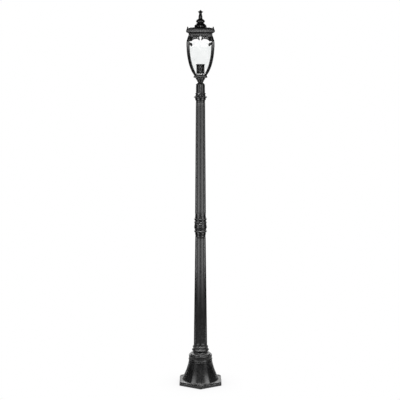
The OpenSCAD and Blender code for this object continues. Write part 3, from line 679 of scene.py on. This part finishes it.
def half_round(radius, z, size, steps=8):
    """A bead's outline, from its lower to its upper edge."""
    turns = [-math.pi / 2 + math.pi * k / steps for k in range(steps + 1)]
    return [(radius + size * math.cos(a), z + size * math.sin(a)) for a in turns]


def turned_piece(name, outline, body, slot="black_casting", radius=0.9, shape=None, angles=None):
    """A turned casting that stands at the foot of its CAD node, with its corners rounded."""
    bm = bmesh.new()
    turned(bm, rounded(outline, radius, closed=True), foot_of(name), shape, angles)
    place_piece(name, bm, body, slot)


def base_collar():
    """Round step on the bell, then a hollow and two beads."""
    turned_piece("base_collar", [
        (SOCKET_R, 0), (66, 0), (66, 5.4), (65, 7), (57, 10), (50.5, 13.5), (47.3, 17), (47.3, 21), (49, 24),
        (53, 26.4), (55, 29), (55, 33), (53.6, 35.4), (48.6, 39), (47.6, 41), (47.6, 47), (48.8, 48.6),
        (50.4, 50), (50.4, 52.4), (49.4, 53.8), (45, 57), (43.9, 59), (43.8, 62), (SOCKET_R, 62)], "post")


def mid_collar():
    """Swelling between beads, over the butt joint of the two columns."""
    bore = BUTT_R + 0.05
    turned_piece("mid_collar", [
        (bore, 0), (34.2, 0), (34.8, 3), (35.6, 10), (36, 14), *half_round(36, 26, 5.8, 6), (37.2, 34),
        (37.2, 37), (38, 40), (40.6, 45), (41.6, 50), (41.2, 56), (39.6, 62), (38.9, 68), (39.4, 74),
        *half_round(36, 84, 5.6, 6), (37.4, 92), (37.4, 96), *half_round(36, 104, 5.6, 6),
        (37, 112), (35.4, 117), (35, 125), (34.8, 128), (bore, 128)], "post")


def top_collar():
    """One large bead over a flare, on the upper column's shoulder."""
    bore = TOP_R + 0.05
    turned_piece("top_collar", [
        (bore, 0), (30, 0), (30.6, 4), (33.4, 8), (34.4, 12), (34.6, 15), (36, 18.6),
        *half_round(36, 26, 6, 6), (34.4, 32.8), (32.8, 34), (32.2, 36), (32, 39), (bore, 39)], "post")


# ---------- lantern: fitter, cup, tray, lampholder ----------

NIPPLE_BORE = 6.6


def fitter():
    """Sleeve over the spigot, with a bead round its lower edge and a domed shoulder."""
    height = (top_of("fitter") - FITTER_Z) / MM
    bore = 24.05
    ceiling = height - 19
    turned_piece("fitter", [
        (bore, 0), (31.5, 0), (31.8, 3), *half_round(29.4, 9, 4.6, 6), (29.4, 15.5), (29.2, 18),
        (28.4, height - 14), (28.2, height - 11.2), (26.6, height - 9.2), (22.4, height - 6.4),
        (18.4, height - 4), (17, height - 2), (17, height), (NIPPLE_BORE, height), (NIPPLE_BORE, ceiling),
        (bore, ceiling)], "lantern")


def lantern_cup():
    """Trumpet that widens in rings from the fitter to the tray."""
    turned_piece("lantern_cup", [
        (NIPPLE_BORE, 0), (17, 0), (18.6, 2.4), (20.8, 4.4), (21.6, 6), (21.6, 8.6), (22.6, 10.6),
        (24.4, 12.6), (26.2, 14), (26.6, 16.4), (28.2, 18.6), (30, 21), (30.4, 23.6), (30.5, 28), (25, 28),
        (21, 19), (12, 8), (NIPPLE_BORE, 6)], "lantern", radius=0.7)


def lantern_tray():
    """Square moulded tray under the cage."""
    bm = bmesh.new()
    outline = [(NIPPLE_BORE, 0), (32, 0), (36, 0.4), (39, 1.4), (42.6, 2.6), (43.6, 4.2), (43.6, 10.6),
               (42.6, 12), (39.6, 12.8), (39.2, 14.6), (40.4, 15.4), (41.6, 16.4), (41.6, 18), (30, 18),
               (28.5, 16.5), (28.5, 4), (NIPPLE_BORE, 4)]
    square_moulding(bm, rounded(outline, 0.8, closed=True), TRAY_Z, 2.2)
    place_piece("lantern_tray", bm, "lantern", "black_casting")


def holder_plate():
    """Shallow pressed dish with soft edges under the lampholder."""
    bm = bmesh.new()
    height = (top_of("holder_plate") - foot_of("holder_plate")) / MM
    outline = [(33.5, 0), (33.5, 5), (32, height - 0.8), (29, height), (NIPPLE_BORE, height),
               (NIPPLE_BORE, height - 1.5), (28.4, height - 1.5), (30.6, height - 2.4), (32, 4.6), (32, 0)]
    square_moulding(bm, rounded(outline, 1.0, closed=True), foot_of("holder_plate"), 6.0)
    place_piece("holder_plate", bm, "lantern", "plain_sheet")


HOLDER_GROOVES = 12
GROOVE_DEPTH = 2.4
GROOVE_SHARE = 0.5


def grooved(angle, radius, amount):
    """Round grooves up the side of the lampholder."""
    step = TURN / HOLDER_GROOVES
    off = (angle % step - step / 2) / (step / 2)
    return radius - GROOVE_DEPTH * amount * max(0.0, 1 - (off / GROOVE_SHARE) ** 2)


def holder_body():
    """Lampholder with grooves between a plain foot and a lipped head. The third number fades the grooves."""
    outline = [(NIPPLE_BORE, 0, 0), (24.6, 0, 0), (25.5, 1, 0), (25.5, 4, 0), (25.5, 7, 1), (25.5, 42, 1),
               (25.5, 45, 0), (25.6, 49, 0), (27.6, 52, 0), (28, 54, 0), (28, 57, 0), (27, 58, 0),
               (22, 58, 0), (21, 57, 0), (21, 17, 0), (18, 17, 0), (18, 3, 0), (NIPPLE_BORE, 3, 0)]
    turned_piece("holder_body", outline, "lantern", "holder_plastic", 0.8, grooved,
                 even_angles(HOLDER_GROOVES * 18))


# ---------- lantern: ribs, glass, ornament ----------

CAGE_DROP = 211.8        # half height of the ellipse that ribs and panes follow
SHOULDER = 21            # upright length above the ellipse
RIB_LEG = 17
RIB_T = 4
GALLERY_T = 5
GLASS_GAP = 0.3
GLASS_T = 3
ORNAMENT_GAP = 4.5       # from the middle of a face to the end of an arm
ORNAMENT_LEG = 30
RAIL_HALF = 2.6
VOLUTE_RISE = 25         # height of the volutes' centres above the joint
VOLUTE_TURNS = 1.3
JOINT_Z = GALLERY_Z / MM  # joint between ribs and ornaments
FRIEZE_FOOT = NECK_Z / MM


def cage_reach(z):
    """Half width of the cage in mm at a height in mm: an ellipse up to the shoulder."""
    below = max(JOINT_Z - SHOULDER - z, 0)
    return CAGE_HALF / MM * math.sqrt(1 - (below / CAGE_DROP) ** 2)


def gallery_reach(z):
    """Half width of the gallery in mm, which leans in towards the neck."""
    share = (z - JOINT_Z) / (FRIEZE_FOOT - JOINT_Z)
    foot = GALLERY_HALF / MM
    return foot + (NECK_HALF / MM - foot) * math.sin(math.pi / 2 * share)


def lantern_reach(z):
    """Half width of the lantern's glazed part in mm at a height in mm."""
    return cage_reach(z) if z < JOINT_Z else gallery_reach(z)


def spread(low, high, steps):
    """Evenly spaced values from low to high."""
    return [low + (high - low) * k / steps for k in range(steps + 1)]


def angle_section(reach, leg, wall, z, soft=1.3):
    """An L in the +X +Y corner, seen from above, with rounded edges."""
    points = [(reach, reach - leg), (reach, reach), (reach - leg, reach), (reach - leg, reach - wall),
              (reach - wall, reach - wall), (reach - wall, reach - leg)]
    return [Vector((p.x * MM, p.y * MM, z * MM)) for p in rounded(points, soft, closed=True)]


def block(bm, low, high, soft=0.8):
    """A small block with rounded upright edges and softened rims, between two corners in mm."""
    points = [(low[0], low[1]), (high[0], low[1]), (high[0], high[1]), (low[0], high[1])]
    middle = Vector(((low[0] + high[0]) / 2, (low[1] + high[1]) / 2, 0))
    rings = []
    for z, share in ((low[2], 0.92), (low[2] + soft, 1.0), (high[2] - soft, 1.0), (high[2], 0.92)):
        ring = [middle + (p - middle) * share for p in rounded(points, soft, closed=True)]
        rings.append([Vector((p.x * MM, p.y * MM, z * MM)) for p in ring])
    skin(bm, rings)


def on_face(u, z, lift=0.0):
    """A point of the +Y face in mm: u along it from its middle, lift out of it."""
    return Vector((u, lantern_reach(z) + lift, z)) * MM


def on_side(u, z, lift=0.0):
    """The same point of the +X face."""
    point = on_face(u, z, lift)
    return Vector((point.y, point.x, point.z))


def on_corner(along, z, lift=0.0):
    """A point in mm near the +X +Y corner: `along` is the distance from the corner round either face."""
    reach = lantern_reach(z)
    if along >= 0:
        return Vector((reach + lift * 0.7 - along, reach + lift, z)) * MM
    return Vector((reach + lift, reach + lift * 0.7 + along, z)) * MM


def leaf(bm, place, top, bottom, middle, half, crown, lobes=4, bend=0.0, tuck=0.0):
    """A lobed leaf from height top to bottom. place(across, z, lift) puts its points.

    Its tip is shifted sideways by bend and sunk into the face by tuck.
    """
    steps = 22
    across = spread(-1, 1, 10)
    rings = []
    for k in range(steps + 1):
        share = k / steps
        z = top + (bottom - top) * share
        swell = math.sin(math.pi * min(0.06 + share ** 0.8 * 0.94, 0.995)) ** 0.7
        width = half * swell * (1 + 0.17 * math.cos(TURN * lobes * share))
        shift = middle + bend * share ** 2
        face = []
        for s in across:
            vein = 0.35 * crown * abs(math.sin(math.pi * (lobes * share + 1.2 * abs(s)))) * abs(s)
            rib = 0.3 * crown * max(0.0, 1 - abs(s) * 6)
            lift = 0.4 + crown * (1 - s * s) * swell + rib - vein * swell - tuck * share
            face.append(place(shift + s * width, z, lift))
        back = [place(shift + s * width, z, -0.8 - tuck * share) for s in (0.8, 0.0, -0.8)]
        rings.append(face + back)
    skin(bm, rings)


def outward_of(place):
    """Direction out of the face that `place` puts its points on."""
    return (place(40, JOINT_Z, 1) - place(40, JOINT_Z, 0)).normalized()


def scroll(bm, place, points, half_width, lift=0.0):
    """A scrolled bar on one face through points of (u, z) in mm, thinner towards its end."""
    path = smooth_path([place(u, z, lift) for u, z in points])
    bar(bm, path, lambda share: (half_width * (1 - 0.45 * share)) * MM, outward_of(place), flat=0.85)


def spiral(u, z, radius, start, turns, steps=10):
    """Points of a volute that tightens towards (u, z)."""
    count = max(int(steps * abs(turns)), 3)
    result = []
    for k in range(count + 1):
        share = k / count
        angle = math.radians(start) + TURN * turns * share
        size = radius * (1 - 0.78 * share)
        result.append((u + size * math.cos(angle), z + size * math.sin(angle)))
    return result


def knob(bm, place, u, z, size, lift=0.0):
    """A small round boss on a face."""
    out = outward_of(place)
    side = Vector((0, 0, 1))
    cross = out.cross(side)
    rings = []
    for t in spread(-0.9, 0.9, 8):
        point = place(u, z, lift) + out * size * MM * t
        half = size * MM * math.sqrt(1 - t * t * 0.98)
        rings.append([point + side * half * math.cos(turn) + cross * half * math.sin(turn)
                      for turn in even_angles(14)])
    skin(bm, rings)


def rib(corner):
    """A curved cast angle with a leaf and two curls on its head."""
    bm = bmesh.new()
    foot_z = CAGE_Z / MM
    rings = [angle_section(cage_reach(z), RIB_LEG, RIB_T, z) for z in spread(foot_z, JOINT_Z - 4, 46)]
    rings += [angle_section(cage_reach(JOINT_Z) - inset, RIB_LEG - inset, RIB_T - inset, JOINT_Z - below)
              for inset, below in ((1.4, 3.4), (1.4, 1.2), (0, 0.6), (0, 0.01))]
    behind = GALLERY_T + 0.2
    rings += [angle_section(gallery_reach(z) - behind, RIB_LEG, RIB_T, z, 0.6)
              for z in spread(JOINT_Z, FRIEZE_FOOT, 6)]
    skin(bm, rings)
    block(bm, (34, 34, foot_z), (39.8, 39.8, foot_z + 8))
    block(bm, (57, 57, FRIEZE_FOOT - 14), (67, 67, FRIEZE_FOOT))
    leaf(bm, on_corner, JOINT_Z - 4.5, JOINT_Z - 36, 0.0, 13.0, 0.4, lobes=4)
    for place in (on_face, on_side):
        leaf(bm, place, JOINT_Z - 9, JOINT_Z - 30, 60, 8.5, 1.0, lobes=2, bend=-2, tuck=3.0)
        scroll(bm, place, [(70, JOINT_Z - 7), (64, JOINT_Z - 11), (57, JOINT_Z - 15), (52.5, JOINT_Z - 21),
                           (53, JOINT_Z - 27), (57.5, JOINT_Z - 29), (60, JOINT_Z - 25)], 2.4, -2.0)
    finish_corner(bm, corner, "rib_" + corner)


def ornament(corner):
    """A leafy corner with two pierced scroll arms, one along each face."""
    bm = bmesh.new()
    lip = [(0.5, JOINT_Z), (0.9, JOINT_Z + 0.5), (0.9, JOINT_Z + 2.2), (0, JOINT_Z + 2.8)]
    rings = [angle_section(gallery_reach(z) + proud, ORNAMENT_LEG, GALLERY_T + proud, z, 0.9)
             for proud, z in lip]
    rings += [angle_section(gallery_reach(z), ORNAMENT_LEG, GALLERY_T, z, 0.9)
              for z in spread(JOINT_Z + 4, FRIEZE_FOOT, 9)]
    skin(bm, rings)
    leaf(bm, on_corner, FRIEZE_FOOT - 1.5, JOINT_Z + 1.5, 0.0, 13.0, 1.4, lobes=4)
    for place in (on_face, on_side):
        leaf(bm, place, FRIEZE_FOOT - 3, JOINT_Z + 1.5, 60, 9.5, 2.6, lobes=4, bend=-2)
        rail = [place(u, FRIEZE_FOOT - 2.6, -2.4) for u in spread(ORNAMENT_GAP, 60, 8)]
        bar(bm, rail, lambda share: RAIL_HALF * MM, outward_of(place), flat=0.9)
        scroll(bm, place, [(57, JOINT_Z + 5), (50, JOINT_Z + 11), (41, JOINT_Z + 15), (31, JOINT_Z + 17),
                           (21, JOINT_Z + 17), (14, JOINT_Z + 15), (8.5, JOINT_Z + 10)], 3.4, -2.0)
        for middle, size in ((44, 8.0), (29, 6.5), (13.5, 7.5)):
            volute = spiral(middle, JOINT_Z + VOLUTE_RISE, size, 20, VOLUTE_TURNS)
            scroll(bm, place, [(middle + size + 5, JOINT_Z + 18)] + volute, 2.2, -2.0)
            knob(bm, place, middle, JOINT_Z + VOLUTE_RISE, 2.4, -1.5)
        leaf(bm, place, JOINT_Z + 20, JOINT_Z + 4.5, 9.4, 4.4, 2.0, lobes=2, bend=-1.0)
    finish_corner(bm, corner, "ornament_" + corner)


def finish_corner(bm, corner, name):
    """Turns a mesh built in the +X +Y corner to its own corner."""
    bmesh.ops.rotate(bm, verts=bm.verts, cent=(0, 0, 0),
                     matrix=Matrix.Rotation(math.radians(LANTERN_CORNERS[corner]), 3, "Z"))
    place_piece(name, bm, "lantern", "black_casting")


def glass(side):
    """One curved pane, built on the +X side and turned to its own side."""
    bm = bmesh.new()
    low = foot_of("glass_" + side) / MM
    high = top_of("glass_" + side) / MM
    outer = RIB_T + GLASS_GAP
    inner = outer + GLASS_T
    rings = []
    for z in spread(low, high, 40):
        reach = cage_reach(z)
        half = reach - inner - 2.6
        section = [(reach - outer, -half), (reach - outer, half), (reach - inner, half),
                   (reach - inner, -half)]
        rings.append([Vector((p.x * MM, p.y * MM, z * MM)) for p in rounded(section, 0.7, closed=True)])
    skin(bm, rings)
    bmesh.ops.rotate(bm, verts=bm.verts, cent=(0, 0, 0),
                     matrix=Matrix.Rotation(math.radians(LANTERN_SIDES[side]), 3, "Z"))
    place_piece("glass_" + side, bm, "lantern", "clear_glass")


def frieze_frame():
    """Plain band with a shallow groove under the roof."""
    bm = bmesh.new()
    half = NECK_HALF / MM
    height = (top_of("frieze_frame") - NECK_Z) / MM
    outline = [(58, 0), (half, 0), (half, 3), (half - 0.9, 4), (half - 0.9, 9.5), (half, 10.5), (half, 12),
               (half - 1.2, 13.2), (half - 1.2, height), (half - 5, height), (half - 5, 3), (58, 3)]
    square_moulding(bm, rounded(outline, 0.6, closed=True), NECK_Z, 2.0)
    place_piece("frieze_frame", bm, "lantern", "black_casting")


# ---------- roof and finial ----------

def roof_rim():
    """Moulded cornice with a small spike on each corner."""
    bm = bmesh.new()
    lip = NECK_HALF / MM + 0.7
    opening = NECK_HALF / MM - 8
    edge = RIM_HALF / MM
    top = (DOME_Z - RIM_Z) / MM
    outline = [(opening, 2), (lip, 2), (lip, 0), (lip + 2, 0), (lip + 4.4, 0.8), (lip + 6.4, 2),
               (edge - 2.6, 3.4), (edge - 0.6, 5), (edge, 7.4), (edge, 17), (edge - 0.6, 19),
               (edge - 2, 20.2), (edge - 2.6, 21.4), (edge - 2.6, 25), (edge - 3.4, 26.8), (edge - 5.4, top),
               (opening, top)]
    square_moulding(bm, rounded(outline, 0.8, closed=True), RIM_Z, 3.0)
    spike_at = (edge - 9.6) * MM
    spike = [(0.01, -1), (4.6, -1), (4.6, 0.8), (3.6, 1.8), (3.4, 2.8), (4.4, 4.4), (4.3, 5.8), (3, 8),
             (1.8, 10.6), (1, 12.2), (0.01, 12.4)]
    for x in (-spike_at, spike_at):
        for y in (-spike_at, spike_at):
            turned(bm, rounded(spike, 0.6, closed=True), DOME_Z, angles=even_angles(28), centre=(x, y))
    place_piece("roof_rim", bm, "roof", "black_casting")


def dome_rows(half, height, steps=14):
    """Reach and height up a low dome that flattens towards the middle."""
    turns = [math.pi / 2 * k / steps for k in range(steps + 1)]
    return [(half * (0.5 + 0.5 * math.cos(a) ** 0.9), height * math.sin(a)) for a in turns]


def roof_dome():
    """Low hollow dome whose corners grow rounder towards the stud hole in its middle."""
    bm = bmesh.new()
    half = half_of("roof_dome") / MM
    height = (top_of("roof_dome") - DOME_Z) / MM
    wall = 3.0
    hole = 3.4
    corner = 3.0
    rings = []

    def dome_ring(reach, soft, z):
        rings.append(square_ring(reach * MM, soft * MM, DOME_Z + z * MM, 6))

    for reach, z in dome_rows(half, height):
        dome_ring(reach, corner + 10.0 * z / height, z)
    dome_ring(hole, corner, height)
    dome_ring(hole, corner, height - wall)
    for reach, z in reversed(dome_rows(half - 7, height - wall)):
        dome_ring(reach, corner, z)
    skin(bm, rings, wrap=True)
    place_piece("roof_dome", bm, "roof", "black_casting")


def finial_base():
    """Flared round base on the dome."""
    turned_piece("finial_base", [
        (3.3, 0), (36, 0), (38, 0.6), (38.6, 2), (38.6, 9), (38, 10.8), (36.4, 11.8), (35.8, 13.4), (33, 16),
        (29.4, 18.4), (26.4, 20.8), (24.8, 22.4), (24.4, 23.8), (23.4, 25), (3.3, 25)], "roof", radius=1.0)


def finial_washer():
    """Thin disc with softened edges."""
    turned_piece("finial_washer", [(3.2, 0), (19.4, 0), (20, 0.6), (20, 1.4), (19.4, 2), (3.2, 2)],
                 "finial_washer", radius=0.4)


def four_leaves(angle, radius, amount):
    """Draws the surface in between four leaf tips, one of them at the front."""
    return radius * (1 - amount * (1 - abs(math.cos(2 * angle)) ** 1.4))


def finial():
    """Bulb, spire and bud. The third number shapes the bud into four leaves."""
    height = (top_of("finial") - foot_of("finial")) / MM
    turned_piece("finial", [
        (3.05, 0, 0), (21.4, 0, 0), (23.6, 0.8, 0), (25.6, 3, 0), (27.6, 6, 0), (28, 8.6, 0), (28, 12, 0),
        (27, 15, 0), (24.2, 18, 0), (19.6, 21, 0), (15.6, 23, 0), (13.8, 24.6, 0), (13.6, 26, 0),
        (12.2, 27.4, 0), (12.4, 31, 0), (12.6, 36, 0), (11.8, 44, 0), (10, 50, 0), (8.4, 54, 0),
        (8.2, 56, 0), (9.6, 57.4, 0), (9.6, 59, 0), (9.4, 60.4, 0.1), (11.6, 63, 0.25), (16.6, 67, 0.36),
        (16.4, 69, 0.36), (12, 70, 0.32), (9.4, 71.6, 0.24), (7.2, 73.6, 0.16), (4, 76.6, 0.1),
        (1.2, height - 0.8, 0.01), (0.01, height, 0), (0.01, 24, 0), (3.05, 22, 0)],
        "finial", shape=four_leaves, angles=even_angles(96))


def build_pieces():
    """Makes every shown piece, from the foot up."""
    base_casting()
    base_collar()
    lower_column()
    mid_collar()
    upper_column()
    top_collar()
    fitter()
    lantern_cup()
    lantern_tray()
    holder_plate()
    holder_body()
    for corner in LANTERN_CORNERS:
        rib(corner)
        ornament(corner)
    for side in LANTERN_SIDES:
        glass(side)
    frieze_frame()
    roof_rim()
    roof_dome()
    finial_base()
    finial_washer()
    finial()


# ---------- stage: floor, light, camera ----------

WHITE = (1.0, 1.0, 1.0, 1.0)
FRONT_DIM = 0.01             # the room's strength on the camera's side
BACK_BRIGHT = 1.2            # and behind the post
CEILING_DIM = 0.12           # share of it that is left overhead
BACK_FROM = 0.62             # the light grows from where a direction points this far backwards
BACK_FULL = 0.95
CEILING_FROM = 0.25          # and fades from where it points this far upwards
CEILING_FULL = 0.45

FLOOR_REACH = 30.0
FLOOR_TONE = (0.22, 0.22, 0.22, 1)
CONTACT_REACH = 0.22         # how far from the foot the contact shadow begins
CONTACT_TONE = (0.80, 0.80, 0.81)

LENS = 96.8
CAMERA_PLACE = (-0.003, -6.8, 2.176)
CAMERA_PITCH = 8.14          # degrees below level


def white_for_camera(tree, other, colour):
    """Shows the camera a plain colour while light and reflections see the other shader."""
    path = tree.nodes.new("ShaderNodeLightPath")
    is_world = tree.nodes.get("World Output") is not None
    shown = tree.nodes.new("ShaderNodeBackground" if is_world else "ShaderNodeEmission")
    if isinstance(colour, bpy.types.NodeSocket):
        tree.links.new(colour, shown.inputs["Color"])
    else:
        shown.inputs["Color"].default_value = colour
    mix = tree.nodes.new("ShaderNodeMixShader")
    tree.links.new(path.outputs["Is Camera Ray"], mix.inputs[0])
    tree.links.new(other, mix.inputs[1])
    tree.links.new(shown.outputs[0], mix.inputs[2])
    return mix.outputs["Shader"]


def remap(tree, value, start, stop, low, high):
    """The world's own span(): stretches a value from start and stop to low and high."""
    made = tree.nodes.new("ShaderNodeMapRange")
    tree.links.new(value, made.inputs["Value"])
    for name, number in (("From Min", start), ("From Max", stop), ("To Min", low), ("To Max", high)):
        made.inputs[name].default_value = number
    return made.outputs["Result"]


def make_world():
    """White behind the post, as in a photographer's cove, and dim overhead and on the camera's side."""
    world = bpy.data.worlds.new("studio")
    world.use_nodes = True
    bpy.context.scene.world = world
    tree = world.node_tree
    tree.nodes.clear()
    output = tree.nodes.new("ShaderNodeOutputWorld")
    place = tree.nodes.new("ShaderNodeTexCoord")
    split = tree.nodes.new("ShaderNodeSeparateXYZ")
    tree.links.new(place.outputs["Generated"], split.inputs["Vector"])
    strength = tree.nodes.new("ShaderNodeMath")
    strength.operation = "MULTIPLY"
    backward = remap(tree, split.outputs["Y"], BACK_FROM, BACK_FULL, FRONT_DIM, BACK_BRIGHT)
    overhead = remap(tree, split.outputs["Z"], CEILING_FROM, CEILING_FULL, 1.0, CEILING_DIM)
    tree.links.new(backward, strength.inputs[0])
    tree.links.new(overhead, strength.inputs[1])
    cove = tree.nodes.new("ShaderNodeBackground")
    tree.links.new(strength.outputs["Value"], cove.inputs["Strength"])
    tree.links.new(white_for_camera(tree, cove.outputs[0], WHITE), output.inputs["Surface"])


def make_floor():
    """A pale floor that shows a soft contact shadow near the foot and fades into the white."""
    below_foot = 0.0005
    bm = bmesh.new()
    bmesh.ops.create_grid(bm, x_segments=1, y_segments=1, size=FLOOR_REACH)
    mesh = bpy.data.meshes.new("floor")
    bm.to_mesh(mesh)
    bm.free()
    floor = bpy.data.objects.new("floor", mesh)
    floor.location.z = -below_foot
    bpy.context.scene.collection.objects.link(floor)
    material, shader = new_material("pale_floor")
    tree = material.node_tree
    shader.inputs["Roughness"].default_value = 0.7
    shader.inputs["Base Color"].default_value = FLOOR_TONE
    contact = add_node(material, "AmbientOcclusion", {"Distance": CONTACT_REACH}, samples=12)
    shadow = ramp(material, contact.outputs["AO"], CONTACT_TONE, WHITE[:3], 0.25, 0.97)
    output = next(n for n in tree.nodes if n.type == "OUTPUT_MATERIAL")
    tree.links.new(white_for_camera(tree, shader.outputs[0], shadow), output.inputs["Surface"])
    mesh.materials.append(material)


def softbox(name, azimuth, place, size, power, aim_z, spread_angle):
    """A soft panel round the post.

    place is its distance from the post's axis and its height, size its width and height. It faces the axis
    at height aim_z and sends its light no further off that line than half of spread_angle.
    """
    light = bpy.data.lights.new(name, "AREA")
    light.shape = "RECTANGLE"
    light.size, light.size_y = size
    light.energy = power
    light.spread = math.radians(spread_angle)
    panel = bpy.data.objects.new(name, light)
    angle = math.radians(azimuth)
    distance, height = place
    panel.location = (distance * math.sin(angle), -distance * math.cos(angle), height)
    aim = Vector((0, 0, aim_z)) - panel.location
    panel.rotation_euler = aim.to_track_quat("-Z", "Y").to_euler()
    bpy.context.scene.collection.objects.link(panel)


def make_lights():
    """Panels on the camera's side, a weaker set behind, and one high on either side for the rings."""
    for facing, turn, share in ((0, 46, 1.0), (180, 20, 0.5)):
        for side in (-1, 1):
            softbox("post_panel", facing + side * turn, (2.6, 1.25), (1.7, 2.2), 9 * share, 2.3, 70)
            bell_power = (9 + 1.6 * side) * share
            softbox("bell_panel", facing + side * (turn - 2), (2.6, 2.1), (1.9, 1.6), bell_power, 0.0, 70)
        softbox("collar_panel", facing, (1.05, 3.05), (2.2, 0.45), 14, 0.25, 46)
        softbox("bell_front", facing, (3.4, 3.0), (1.0, 1.0), 1.6, 0.0, 60)
        softbox("lantern_panel", facing, (7.6, 3.1), (3.0, 2.4), 19, 4.0, 50)
    for side in (-1, 1):
        softbox("ring_panel", side * 100, (1.7, 2.9), (1.2, 1.2), 3, 0.2, 70)


def make_camera():
    """Long lens at lantern height, pitched down so that the whole post stands in the picture."""
    lens = bpy.data.cameras.new("camera")
    lens.lens = LENS
    lens.sensor_width = 36.0
    lens.clip_end = 200.0
    camera = bpy.data.objects.new("camera", lens)
    camera.location = CAMERA_PLACE
    camera.rotation_euler = (math.radians(90 - CAMERA_PITCH), 0.0, 0.0)
    bpy.context.scene.collection.objects.link(camera)
    bpy.context.scene.camera = camera
    bpy.context.scene.view_settings.view_transform = "Standard"


dress_frame()
build_pieces()
make_world()
make_floor()
make_lights()
make_camera()
